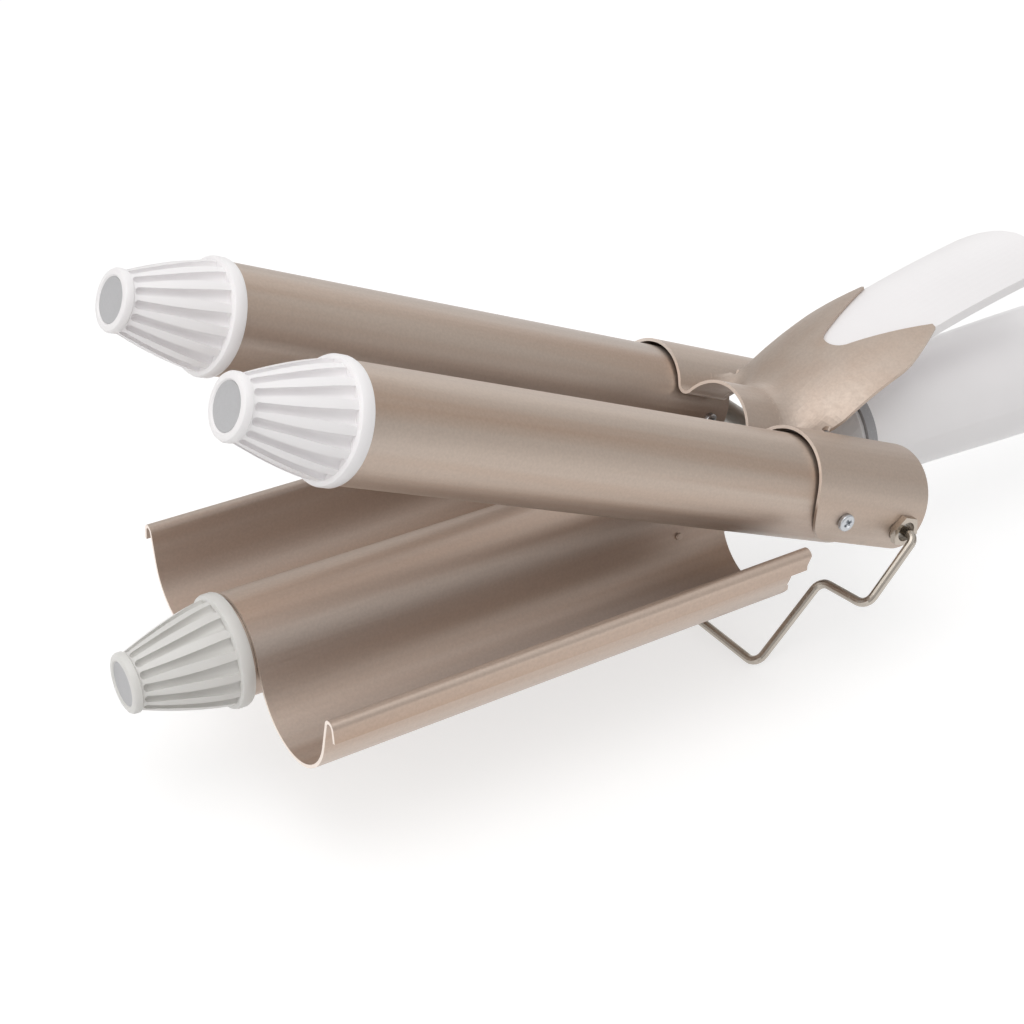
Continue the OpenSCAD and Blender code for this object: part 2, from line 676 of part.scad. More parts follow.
module wave_plate() {
    mid_w = half_pitch + trough_r * 0.85;
    color("#b7a596") row() difference() {
        translate([-plate_front, 0, 0]) rotate([90, 0, 90])
            linear_extrude(height = plate_len) plate2d();
        // the walls are cut back, and the lips' corners with them
        for (s = [-1, 1]) translate([-plate_rear, s * (mid_w + big / 2), 0]) rotate([90, 0, 0])
            linear_extrude(height = big, center = true) polygon([[-rail_notch - 0.8, -big],
                [-rail_notch - 0.8, trough_z - trough_r * 0.6], [-rail_notch, lip_c[1] - 1.5],
                [-0.01, lip_c[1] + 0.5], [big, lip_c[1] + 0.5], [big, -big]]);
        rivet_hole();
    }
}
// two rivets through the plate's webs into the centre tube, square to the trough's surface
rivet_x = plate_rear + 13.6;
rivet_tilt = 13;
rivet_r = 0.5;
rivet_head_t = 0.5;
// ends in the tube's wall
rivet_len = half_pitch - trough_r - core_bore + 0.2;
module at_rivet() {
    both() translate([-rivet_x, half_pitch, trough_z]) rotate([rivet_tilt, 0, 0])
        translate([0, -trough_r, 0]) children();
}
// from outside the plate to well inside the tube, however far apart they are
module rivet_hole() { at_rivet() bar_y(rivet_r + seat_gap, -rivet_len - 3, 5); }
module plate_rivets() {
    color("#c9ccd0") row() at_rivet() {
        bar_y(rivet_r, -rivet_len, 0.2);
        bar_y(1.7 * rivet_r, 0.08, 0.08 + rivet_head_t);
    }
}

// ---- neck: spigot in the centre tube, hinge boss, a shaped collar, and a tang in the handle ----
slot_len = 15;
slot_w = 11.2;
tang_grip = 27;
tang_len = ring_w + tang_grip;
module neck() {
    r_in = core_bore - seat_gap;
    color("#a9abad") row() difference() {
        union() {
            translate([-neck_front - 9, 0, -core_drop]) to_tail() cylinder(r = r_in, h = 12);
            translate([-neck_front, 0, -core_drop]) to_tail()
                cylinder(r = neck_r, h = neck_front + collar_x + 0.5);
            bar_y(boss_ro, -boss_half, boss_half);
            hull() {
                translate([collar_x, 0, -core_drop]) to_tail()
                    cylinder(r = neck_r + 0.2, h = 1, $fn = 32);
                translate([ring_x - 1.1, 0, handle_lift]) to_tail()
                    cylinder(r = ring_r - 0.9, h = 1, $fn = 32);
            }
            translate([ring_x - 1, 0, handle_lift]) to_tail()
                cylinder(r = ring_r - shell_t - 0.5, h = tang_len);
        }
        bar_y(rod_d / 2 + 0.02, -big, big);
        // slot for the spring, open upwards
        translate([-slot_len / 2 - 1, -slot_w / 2, -boss_ro]) cube([slot_len, slot_w, big]);
        // lead channel
        translate([-big, 0, -core_drop - neck_r + 5.4]) to_tail() cylinder(r = 2.5, h = big + ring_x + 3);
        translate([ring_x + 2, 0, handle_lift - 3]) to_tail() cylinder(r = 7, h = tang_len + 10);
        for (x = [boss_xs[0]]) translate([x, 0, 0]) cylinder(r = low_boss_r + 0.4, h = 2 * big, center = true);
    }
}
module front_ring() {
    color("#8d9094") row() translate([0, 0, handle_lift])
        tube_x(ring_r, ring_r - shell_t - 0.5 + seat_gap, ring_x, ring_x + ring_w - 0.05);
}

// ---- handle shells ----
// outer radius of the handle at a share t of its length
function grip(t) = ring_r - 0.2 + (grip_r - ring_r + 0.2) * pow(sin(min(1, t / 0.55) * 90), 2)
    - (t > 0.55 ? (grip_r - tail_r) * pow((t - 0.55) / 0.45, 2) : 0);
module grip_body(inset, x0, x1, n = 12) {
    rotate_extrude() polygon(concat([[0, x0]],
        [for (i = [0:n]) let (x = x0 + (x1 - x0) * i / n)
            [grip((x - shell_x) / shell_len) - inset, x]], [[0, x1]]));
}
module half_space(up) {
    translate([-big, -big, up ? 0 : -big]) cube([2 * big, 2 * big, big]);
}
// the shell of one half, closed at the tail but for the gland's seat
module shell(up) {
    intersection() {
        difference() {
            to_tail() grip_body(0, shell_x, handle_end);
            to_tail() grip_body(shell_t, shell_x - 1, handle_end - 2.6);
            translate([handle_end - 6, 0, 0]) to_tail() cylinder(r = gland_d / 2 - 1 + run_gap, h = 12);
        }
        half_space(up);
    }
}
module board_posts() {
    for (x = [board_x0 + 3, board_x1 - 3]) for (s = [-1, 1]) translate([x, s * 7.5, 0]) children();
}
key_xs = [power_x, minus_x, plus_x];
key_ds = [power_d, key_d, key_d];
module upper_shell() {
    color("white") row() translate([0, 0, handle_lift]) difference() {
        union() {
            shell(true);
            intersection() {
                for (x = boss_xs) translate([x, 0, 0]) cylinder(r = boss_r, h = big);
                to_tail() grip_body(shell_t / 2, shell_x + 1, handle_end - 1);
                half_space(true);
            }
        }
        for (x = boss_xs) translate([x, 0, -1]) cylinder(r = hscrew_d / 2 - 0.05, h = 9);
        for (i = [0:2]) translate([key_xs[i], 0, 8]) cylinder(r = key_ds[i] / 2 + key_gap, h = big);
        translate([window_x, -window_w / 2, 8]) cube([window_len, window_w, big]);
    }
}
module lower_shell() {
    color("white") row() translate([0, 0, handle_lift]) difference() {
        union() {
            shell(false);
            intersection() {
                for (x = boss_xs) translate([x, 0, -big]) cylinder(r = low_boss_r, h = big - 0.05);
                to_tail() grip_body(shell_t / 2, shell_x + 1, handle_end - 1);
            }
            // posts that carry the circuit board, with pins through it
            intersection() {
                board_posts() {
                    translate([0, 0, -big]) cylinder(r = 1.6, h = big + board_z - handle_lift - 0.05);
                    translate([0, 0, -1]) cylinder(r = post_pin_r, h = board_z - handle_lift + board_t + 2);
                }
                to_tail() grip_body(shell_t / 2, shell_x + 1, handle_end - 1);
            }
        }
        for (x = boss_xs) {
            translate([x, 0, -big]) cylinder(r = hscrew_d / 2 + 0.2, h = big + 1);
            translate([x, 0, -big - 8]) cylinder(r = hscrew_d + 0.2, h = big);
        }
    }
}
module shell_screws() {
    color("#c9ccd0") row() translate([0, 0, handle_lift - 8]) for (x = boss_xs)
        translate([x, 0, 0]) mirror([0, 0, 1])
            pan_screw(hscrew_d - 0.14, 2 * hscrew_d, 14, hscrew_head_t);
}

// ---- electronics ----
module circuit_board() {
    color("#2f6b45") row() translate([0, 0, board_z]) difference() {
        translate([board_x0, -board_w / 2, 0]) cube([board_x1 - board_x0, board_w, board_t]);
        board_posts() translate([0, 0, -1]) cylinder(r = post_pin_r + seat_gap, h = board_t + 2);
    }
}
module switches() {
    color("#222222") row() for (x = key_xs) translate([x, 0, board_z + board_t + 0.05]) {
        translate([-3, -3, 0]) cube([6, 6, switch_h - 1]);
        cylinder(r = 1.6, h = switch_h);
    }
}
module display_module() {
    color("#30343a") row() translate([window_x - 0.5, -window_w / 2 - 0.5, board_z + board_t + 0.05])
        cube([window_len + 1, window_w + 1, 4.5]);
}
module display_window() {
    z = handle_lift + grip((window_x + window_len - shell_x) / shell_len);
    color("#15171a") row() translate([window_x + key_gap / 2, -window_w / 2 + key_gap / 2,
        board_z + board_t + 4.7])
        cube([window_len - key_gap, window_w - key_gap,
            z - 0.6 - (board_z + board_t + 4.7)]);
}
// a domed button: stem on the switch, flange under the shell
module key(x, d) {
    r_grip = grip((x - shell_x) / shell_len);
    top = handle_lift + r_grip + 1.3;
    foot = board_z + board_t + switch_h + 0.05 + key_travel + 0.3;
    flange_r = d / 2 + 0.6;
    flange_z = handle_lift + sqrt(pow(r_grip - shell_t, 2) - pow(flange_r, 2)) - 0.35 - foot;
    row() translate([x, 0, foot]) rotate_extrude() polygon([[0, 0], [d / 2 - 1.5, 0],
        [d / 2 - 1.5, flange_z - 0.8], [flange_r, flange_z - 0.8], [flange_r, flange_z],
        [d / 2, flange_z], [d / 2, top - foot - 0.6], [d / 2 - 0.6, top - foot], [0, top - foot]]);
}
module power_button() { color("#d9dadc") key(power_x, power_d); }
module minus_button() { color("#d9dadc") key(minus_x, key_d); }
module plus_button() { color("#d9dadc") key(plus_x, key_d); }

// ---- swivelling cord gland ----
module cord_gland() {
    color("#e8e8e8") row() translate([0, 0, handle_lift]) difference() {
        to_tail() rotate_extrude() polygon([[0, handle_end - 6], [gland_d / 2 + 1.5, handle_end - 6],
            [gland_d / 2 + 1.5, handle_end - 2.9], [gland_d / 2 - 1, handle_end - 2.9],
            [gland_d / 2 - 1, handle_end + 0.3], [gland_d / 2, handle_end + 0.3],
            [gland_d / 2, gland_x - 5], [gland_d / 2 - 1.2, gland_x], [0, gland_x]]);
        translate([handle_end - 7, 0, 0]) to_tail() cylinder(r = gland_bore / 2, h = gland_len + 8);
    }
}

left_barrel();
right_barrel();
left_cap();
right_cap();
left_heater();
right_heater();
rear_plugs();
saddle_bracket();
thumb_rest();
saddle_screws();
pivot_nuts();
wave_plate();
plate_rivets();
centre_barrel();
centre_cap();
centre_heater();
neck();
front_ring();
hinge_rod();
spacer_tubes();
jaw_spring();
wire_stand();
upper_shell();
lower_shell();
shell_screws();
circuit_board();
switches();
display_module();
display_window();
power_button();
minus_button();
plus_button();
cord_gland();
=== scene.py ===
# Triple-barrel hair waver: finishes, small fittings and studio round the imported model.
# Laid out as a Blender add-on and run as a script. Lengths are metres.
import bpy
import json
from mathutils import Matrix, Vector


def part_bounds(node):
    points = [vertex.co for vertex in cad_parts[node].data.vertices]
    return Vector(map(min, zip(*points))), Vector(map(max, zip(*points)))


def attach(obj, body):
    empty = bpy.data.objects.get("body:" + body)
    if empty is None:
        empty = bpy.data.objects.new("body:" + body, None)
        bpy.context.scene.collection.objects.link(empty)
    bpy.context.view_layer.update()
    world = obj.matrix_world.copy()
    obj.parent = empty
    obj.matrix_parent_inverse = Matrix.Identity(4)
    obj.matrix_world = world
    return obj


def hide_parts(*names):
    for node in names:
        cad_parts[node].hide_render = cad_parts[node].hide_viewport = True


bl_info = {
    "name": "Hair waver",
    "version": (1, 0, 0),
    "blender": (4, 5, 0),
    "location": "View3D > Sidebar > Waver",
    "description": "Finishes, screws, marks and studio of a triple-barrel hair waver",
    "category": "Object",
}

import json
from math import atan2, cos, pi, radians, sin

import bmesh
import bpy
from mathutils import Matrix, Vector

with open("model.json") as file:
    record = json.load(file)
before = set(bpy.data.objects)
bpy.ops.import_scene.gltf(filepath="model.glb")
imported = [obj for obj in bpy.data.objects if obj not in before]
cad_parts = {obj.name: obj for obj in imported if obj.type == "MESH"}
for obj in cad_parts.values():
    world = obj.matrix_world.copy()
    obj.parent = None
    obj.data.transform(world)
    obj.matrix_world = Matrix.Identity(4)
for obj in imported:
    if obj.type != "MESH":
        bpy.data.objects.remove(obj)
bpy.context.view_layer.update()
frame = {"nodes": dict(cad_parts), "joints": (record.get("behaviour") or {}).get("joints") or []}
NODES = frame["nodes"]
MM = 0.001
# the angle at which the jaws stand open, and the way along the upper barrels to their tips
OPEN = radians(-frame["joints"][0]["range_deg"][0])
TO_TIPS = Vector((-cos(OPEN), 0, sin(OPEN)))
# each cap's tube, way to the tip, body, slot, and the turn at which it was pressed in
CAPS = (("left", TO_TIPS, "upper_jaw", "cap_white", radians(-4)),
        ("right", TO_TIPS, "upper_jaw", "cap_white", radians(-13)),
        ("centre", Vector((-1, 0, 0)), "handle", "cap_pale", radians(-13)))
# how far a printed or pressed-on piece reaches into what carries it
SUNK = 0.01 * MM
# edges that turn by less than this are shaded smooth
SMOOTH = radians(30)


# ---- helpers ----
def linear(hex_colour):
    """An sRGB hex colour as linear RGBA."""
    parts = [int(hex_colour[i : i + 2], 16) / 255 for i in (1, 3, 5)]
    return [p / 12.92 if p <= 0.04045 else ((p + 0.055) / 1.055) ** 2.4 for p in parts] + [1.0]


def rgba(colour):
    """A colour with full alpha."""
    return (colour[0], colour[1], colour[2], 1.0)


def add(tree, kind, inputs=(), **settings):
    """Adds a node with its settings. A socket as an input's value is linked, anything else is set."""
    made = tree.nodes.new(kind)
    for key, value in settings.items():
        setattr(made, key, value)
    for key, value in dict(inputs).items():
        if isinstance(value, bpy.types.NodeSocket):
            tree.links.new(value, made.inputs[key])
        else:
            made.inputs[key].default_value = value
    return made


def blank(name):
    """A new material, its tree and its shader, which is joined to an output."""
    made = bpy.data.materials.new(name)
    made.use_nodes = True
    tree = made.node_tree
    tree.nodes.clear()
    shader = add(tree, "ShaderNodeBsdfPrincipled")
    add(tree, "ShaderNodeOutputMaterial", {"Surface": shader.outputs["BSDF"]})
    return made, tree, shader


def dress(material, *nodes):
    """Gives CAD nodes this material in all their slots."""
    for name in nodes:
        data = NODES[name].data
        if not data.materials:
            data.materials.append(material)
        for i in range(len(data.materials)):
            data.materials[i] = material


def bare():
    """Leaves edit mode and deselects everything."""
    if bpy.context.object and bpy.context.object.mode != "OBJECT":
        bpy.ops.object.mode_set(mode="OBJECT")
    bpy.ops.object.select_all(action="DESELECT")


def edit(ob, mode="FACE"):
    """Edit mode on one object, with nothing selected."""
    bare()
    ob.select_set(True)
    bpy.context.view_layer.objects.active = ob
    bpy.ops.object.mode_set(mode="EDIT")
    bpy.ops.mesh.select_mode(type=mode)
    bpy.ops.mesh.select_all(action="DESELECT")


def pick(ob, test, mode="FACE"):
    """Selects the faces or edges of the object in edit mode that pass a test."""
    work = bmesh.from_edit_mesh(ob.data)
    for item in work.faces if mode == "FACE" else work.edges:
        if test(item):
            item.select_set(True)
    bmesh.update_edit_mesh(ob.data)


def cut(ob, cutter):
    """Takes the cutter out of the object and removes it."""
    bare()
    bpy.context.view_layer.objects.active = ob
    ob.select_set(True)
    mod = ob.modifiers.new("cut", "BOOLEAN")
    mod.object = cutter
    mod.operation = "DIFFERENCE"
    mod.solver = "EXACT"
    bpy.ops.object.modifier_apply(modifier=mod.name)
    bpy.data.objects.remove(cutter)


def join(first, *others):
    """Joins the others to the first."""
    bare()
    for ob in (first, *others):
        ob.select_set(True)
    bpy.context.view_layer.objects.active = first
    bpy.ops.object.join()
    return first


def place(ob, where, up, along=None):
    """Moves the mesh of a piece drawn at the origin. Its +Z then points up, its +Y near along."""
    up = up.normalized()
    along = along or (Vector((0, 1, 0)) if abs(up.y) < 0.9 else Vector((1, 0, 0)))
    side = along.cross(up).normalized()
    turn = Matrix((side, up.cross(side), up)).transposed().to_4x4()
    ob.data.transform(Matrix.Translation(where) @ turn)
    ob.data.update()
    return ob


def copy_of(ob, name):
    """A copy with its own mesh."""
    made = ob.copy()
    made.data = ob.data.copy()
    made.name = name
    bpy.context.scene.collection.objects.link(made)
    return made


def finish(ob, name, body, material):
    """Names and paints a finished piece and makes it ride on its body."""
    bare()
    ob.name = name
    ob.select_set(True)
    bpy.context.view_layer.objects.active = ob
    bpy.ops.object.transform_apply(location=True, rotation=True, scale=True)
    bpy.ops.object.shade_smooth_by_angle(angle=SMOOTH)
    ob.data.materials.clear()
    ob.data.materials.append(material)
    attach(ob, body)
    return ob


def part_box(name, test=lambda co: True, axes=None):
    """Lowest and highest corner of the points of a CAD node that pass a test, along three axes."""
    axes = axes or (Vector((1, 0, 0)), Vector((0, 1, 0)), Vector((0, 0, 1)))
    points = [v.co for v in NODES[name].data.vertices if test(v.co)]
    spans = [[p.dot(axis) for p in points] for axis in axes]
    return Vector([min(span) for span in spans]), Vector([max(span) for span in spans])


def on_cap(tag, to_tip, back):
    """The point of a cap's axis that lies back from its tip, and the cap's lowest and highest
    corner along its axis, along Y and square to both."""
    above = Vector((to_tip.z, 0, -to_tip.x))
    low, high = part_box(tag + "_cap", axes=(to_tip, Vector((0, 1, 0)), above))
    at = (to_tip * (high.x - back) + above * ((low.z + high.z) / 2)
          + Vector((0, (low.y + high.y) / 2, 0)))
    return at, low, high


# ---- sizes and colours ----
class WaverFinishes(bpy.types.PropertyGroup):
    """Colours of the waver's finishes"""

    tube: bpy.props.FloatVectorProperty(
        name="Tube", description="Satin champagne of barrels and bracket", subtype="COLOR", size=3,
        min=0, max=1, default=linear("#c1b1a4")[:3])
    sheet: bpy.props.FloatVectorProperty(
        name="Sheet", description="Satin champagne of the wave plate", subtype="COLOR",
        size=3, min=0, max=1, default=linear("#cbbaad")[:3])
    # painted shade: browner tone of the bands along tubes and sheet that stand for reflected shade
    painted_shade_tone: bpy.props.FloatVectorProperty(
        name="Warm tone", description="Browner tone of the painted shade bands", subtype="COLOR",
        size=3, min=0, max=1, default=linear("#b3957f")[:3])
    # painted highlight: greyer tone of the patches on tubes and sheet that stand for highlights
    painted_highlight_tone: bpy.props.FloatVectorProperty(
        name="Cool tone", description="Greyer tone of the painted highlight patches", subtype="COLOR",
        size=3, min=0, max=1, default=linear("#b1aaa6")[:3])
    # bare metal of the cut edges, its near-white a painted highlight
    bare_edge_and_highlight: bpy.props.FloatVectorProperty(
        name="Cut edge", description="Bare metal at the cut edges, near-white as a painted highlight", subtype="COLOR", size=3,
        min=0, max=1, default=linear("#f8ece2")[:3])
    white: bpy.props.FloatVectorProperty(
        name="White", description="Plastic of caps, thumb rest and handle", subtype="COLOR",
        size=3, min=0, max=1, default=linear("#f7f5f6")[:3])
    pale: bpy.props.FloatVectorProperty(
        name="Pale cap", description="Greyer plastic of the centre cap", subtype="COLOR", size=3,
        min=0, max=1, default=linear("#dfdedb")[:3])
    nickel: bpy.props.FloatVectorProperty(
        name="Nickel", description="Plated wire and nuts", subtype="COLOR", size=3, min=0, max=1,
        default=linear("#bdb5ab")[:3])


class WaverFittings(bpy.types.PropertyGroup):
    """Sizes of the small fittings"""

    recess: bpy.props.FloatProperty(
        name="Cross recess", description="Span of the cross as a share of the screw head",
        default=0.74, min=0.3, max=0.8)
    shank: bpy.props.FloatProperty(
        name="Bracket screw", description="Shank of the bracket's screws", unit="LENGTH",
        default=2.2 * MM, min=MM, max=3 * MM)
    head_height: bpy.props.FloatProperty(
        name="Bracket screw head", description="Height of the bracket screws' heads",
        unit="LENGTH", default=1.1 * MM, min=0.9 * MM, max=1.6 * MM)
    shell_head: bpy.props.FloatProperty(
        name="Handle screw head", description="Height of the handle screws' heads",
        unit="LENGTH", default=1.6 * MM, min=1.2 * MM, max=2 * MM)
    cap_len: bpy.props.FloatProperty(
        name="Cap", description="Length of a cap in front of its tube", unit="LENGTH",
        default=25.6 * MM, min=20 * MM, max=32 * MM)
    flange_t: bpy.props.FloatProperty(
        name="Cap flange", description="Thickness of a cap's flange", unit="LENGTH",
        default=3.4 * MM, min=2 * MM, max=4 * MM)
    tip_r: bpy.props.FloatProperty(
        name="Cap tip", description="Radius of the ring at a cap's tip", unit="LENGTH",
        default=6.9 * MM, min=6 * MM, max=7.8 * MM)
    tip_ring: bpy.props.FloatProperty(
        name="Tip ring", description="Length of the ring at a cap's tip", unit="LENGTH",
        default=2.2 * MM, min=1.6 * MM, max=3 * MM)
    tip_bore: bpy.props.FloatProperty(
        name="Tip bore", description="Radius of the recess in a cap's tip", unit="LENGTH",
        default=5 * MM, min=4 * MM, max=5.4 * MM)
    tube_wall: bpy.props.FloatProperty(
        name="Tube wall", description="Wall of a tube with the cap's clearance", unit="LENGTH",
        default=0.9 * MM, min=0.6 * MM, max=1.5 * MM)
    flutes: bpy.props.IntProperty(
        name="Flutes", description="Number of flutes round a cap", default=15, min=12, max=20)
    flute: bpy.props.FloatProperty(
        name="Flute", description="Radius of a flute at the flange", unit="LENGTH",
        default=1.6 * MM, min=MM, max=1.9 * MM)
    flute_end: bpy.props.FloatProperty(
        name="Flute end", description="Radius of a flute at the tip ring", unit="LENGTH",
        default=1.0 * MM, min=0.5 * MM, max=1.2 * MM)
    flute_sink: bpy.props.FloatProperty(
        name="Flute sink", description="How far a flute's axis lies below the cap's surface",
        unit="LENGTH", default=0.1 * MM, min=0, max=0.8 * MM)
    disc: bpy.props.FloatProperty(
        name="Tip disc", description="Radius of the disc in a cap's tip", unit="LENGTH",
        default=4.95 * MM, min=3 * MM, max=6 * MM)
    disc_depth: bpy.props.FloatProperty(
        name="Disc seat", description="Depth of the recess in a cap's tip", unit="LENGTH",
        default=1.18 * MM, min=MM, max=3 * MM)
    mark: bpy.props.FloatProperty(
        name="Mark line", description="Line width of the marks on the buttons", unit="LENGTH",
        default=0.55 * MM, min=0.2 * MM, max=MM)
    digit: bpy.props.FloatProperty(
        name="Digit height", description="Height of a digit in the display", unit="LENGTH",
        default=4.4 * MM, min=3 * MM, max=5.5 * MM)


class WaverStudio(bpy.types.PropertyGroup):
    """Camera and light"""

    lens: bpy.props.FloatProperty(
        name="Lens", description="Focal length in millimetres on a 36 mm sensor", default=68.94,
        min=20, max=200)
    turn: bpy.props.FloatProperty(
        name="Azimuth", description="Turn of the camera about the waver", subtype="ANGLE",
        default=radians(-34.021))
    rise: bpy.props.FloatProperty(
        name="Elevation", description="Height angle of the camera", subtype="ANGLE",
        default=radians(31.374))
    roll: bpy.props.FloatProperty(
        name="Roll", description="Roll of the camera", subtype="ANGLE", default=radians(1.551))
    eye: bpy.props.FloatVectorProperty(
        name="Camera", description="Place of the camera", subtype="TRANSLATION", size=3,
        default=(-0.30076, -0.32554, 0.28560))
    key: bpy.props.FloatProperty(
        name="Key", description="Power of the overhead softbox in watts", default=1.5, min=0)
    front: bpy.props.FloatProperty(
        name="Front", description="Power of the softbox in front of the tips in watts",
        default=1.1, min=0)
    back: bpy.props.FloatProperty(
        name="Back", description="Power of the softbox behind the handle in watts", default=0.5,
        min=0)
    sky: bpy.props.FloatProperty(
        name="Surround", description="Strength of the studio's surround", default=0.95, min=0)


# ---- finishes ----
class WAVER_OT_paint_metal(bpy.types.Operator):
    """Champagne coating on tubes, plate and bracket"""

    bl_idname = "waver.paint_metal"
    bl_label = "Coated metal"

    def wander(self, tree, along, shift, stretch, detail, span, most):
        """A mask of 0 to most from noise stretched along the piece, cut to a span of its values."""
        where = add(tree, "ShaderNodeMapping", {
            "Vector": along.outputs["Vector"], "Location": shift, "Scale": stretch})
        noise = add(tree, "ShaderNodeTexNoise", {
            "Vector": where.outputs["Vector"], "Scale": 1.0, "Detail": detail})
        mask = add(tree, "ShaderNodeMapRange", {
            "Value": noise.outputs["Fac"], "From Min": span[0], "From Max": span[1],
            "To Min": 0.0, "To Max": most})
        return mask.outputs["Result"]

    def coating(self, name, colour, turn, edge, seed, drift=1.0):
        """Satin coating with its grain along the piece and painted shade and highlight bands. Cut
        edges that face edge are bare, near-white as a painted highlight.
        drift is how strongly the painted bands show."""
        f = bpy.context.scene.waver_finishes
        made, tree, shader = blank(name)
        coords = add(tree, "ShaderNodeTexCoord")
        along = add(tree, "ShaderNodeMapping", {
            "Vector": coords.outputs["Object"], "Rotation": (0, -turn, 0)})
        # drawing lines: 1.2 mm apart, drawn coarser than the real 0.1 mm so that they show
        lines = add(tree, "ShaderNodeMapping", {
            "Vector": along.outputs["Vector"], "Scale": (6, 830, 830)})
        grain = add(tree, "ShaderNodeTexNoise", {
            "Vector": lines.outputs["Vector"], "Scale": 1.0, "Detail": 3.0, "Roughness": 0.6})
        # painted shade: soft browner bands along the piece, 7 mm wide, that stand for reflected shade
        painted_shade_bands = self.wander(tree, along, (seed, seed, 0), (4, 150, 150), 2.0, (0.38, 0.7),
                          0.7 * drift)
        base = add(tree, "ShaderNodeMix", {
            "Factor": painted_shade_bands, "A": rgba(colour), "B": rgba(f.painted_shade_tone)}, data_type="RGBA")
        # painted highlight: greyer patches over 200 mm along and 20 mm across that stand for
        # highlights
        painted_highlight_patches = self.wander(tree, along, (0, seed, seed), (5, 50, 50), 1.0, (0.45, 0.75),
                           0.5 * drift)
        with_painted_highlight = add(tree, "ShaderNodeMix", {
            "Factor": painted_highlight_patches, "A": base.outputs["Result"], "B": rgba(f.painted_highlight_tone)}, data_type="RGBA")
        # metal flakes in the coating, drawn at 0.6 mm
        flakes = add(tree, "ShaderNodeTexNoise", {
            "Vector": coords.outputs["Object"], "Scale": 1600.0, "Detail": 1.0})
        speck = add(tree, "ShaderNodeMapRange", {
            "Value": flakes.outputs["Fac"], "From Min": 0.3, "From Max": 0.7,
            "To Min": 0.96, "To Max": 1.04})
        flaked = add(tree, "ShaderNodeVectorMath", {
            0: with_painted_highlight.outputs["Result"], "Scale": speck.outputs["Result"]}, operation="SCALE")
        colour_out = flaked.outputs["Vector"]
        rough = add(tree, "ShaderNodeMapRange", {
            "Value": grain.outputs["Fac"], "From Min": 0.3, "From Max": 0.7,
            "To Min": 0.40, "To Max": 0.52})
        rough_out = rough.outputs["Result"]
        # bare metal on cut edges that face edge, near-white as a painted highlight
        if edge is not None:
            facing = add(tree, "ShaderNodeVectorMath", {
                0: coords.outputs["Normal"], 1: tuple(edge)}, operation="DOT_PRODUCT")
            mask = add(tree, "ShaderNodeMapRange", {
                "Value": facing.outputs["Value"], "From Min": 0.93, "From Max": 0.97})
            shown = add(tree, "ShaderNodeMix", {
                "Factor": mask.outputs["Result"], "A": colour_out, "B": rgba(f.bare_edge_and_highlight)},
                data_type="RGBA")
            colour_out = shown.outputs["Result"]
            filed = add(tree, "ShaderNodeMix", {
                "Factor": mask.outputs["Result"], "A": rough_out, "B": 0.5})
            rough_out = filed.outputs["Result"]
        bump = add(tree, "ShaderNodeBump", {
            "Height": grain.outputs["Fac"], "Strength": 0.1, "Distance": 0.00008})
        tree.links.new(colour_out, shader.inputs["Base Color"])
        tree.links.new(rough_out, shader.inputs["Roughness"])
        tree.links.new(bump.outputs["Normal"], shader.inputs["Normal"])
        shader.inputs["Metallic"].default_value = 0.75
        # the clear top coat adds a colourless sheen over the tinted metal
        shader.inputs["Coat Weight"].default_value = 0.3
        shader.inputs["Coat Roughness"].default_value = 0.32
        return made

    def execute(self, context):
        f = context.scene.waver_finishes
        # pearl coating on drawn aluminium tube: broad soft highlights along the tube, with painted
        # shade bands and highlight patches
        tube = self.coating("Champagne coated aluminium tube", f.tube, OPEN, None, 0.31)
        dress(tube, "left_barrel", "right_barrel")
        core = self.coating("Champagne coated aluminium centre tube", f.tube, 0.0, None, 1.7)
        dress(core, "centre_barrel")
        # bent sheet: the same coating, and bare metal where it is cut, near-white as a painted
        # highlight
        plate = self.coating("Champagne coated bent sheet", f.sheet, 0.0, (-1, 0, 0), 2.3)
        # the rivets are coated with the plate
        dress(plate, "wave_plate", "plate_rivets")
        # pressed bracket: fainter painted shade bands and highlight patches, and its front edges
        # bare, near-white as a painted highlight
        bracket = self.coating("Champagne coated pressed sheet", f.tube, OPEN, TO_TIPS, 3.9,
                               drift=0.35)
        dress(bracket, "saddle_bracket")
        return {"FINISHED"}


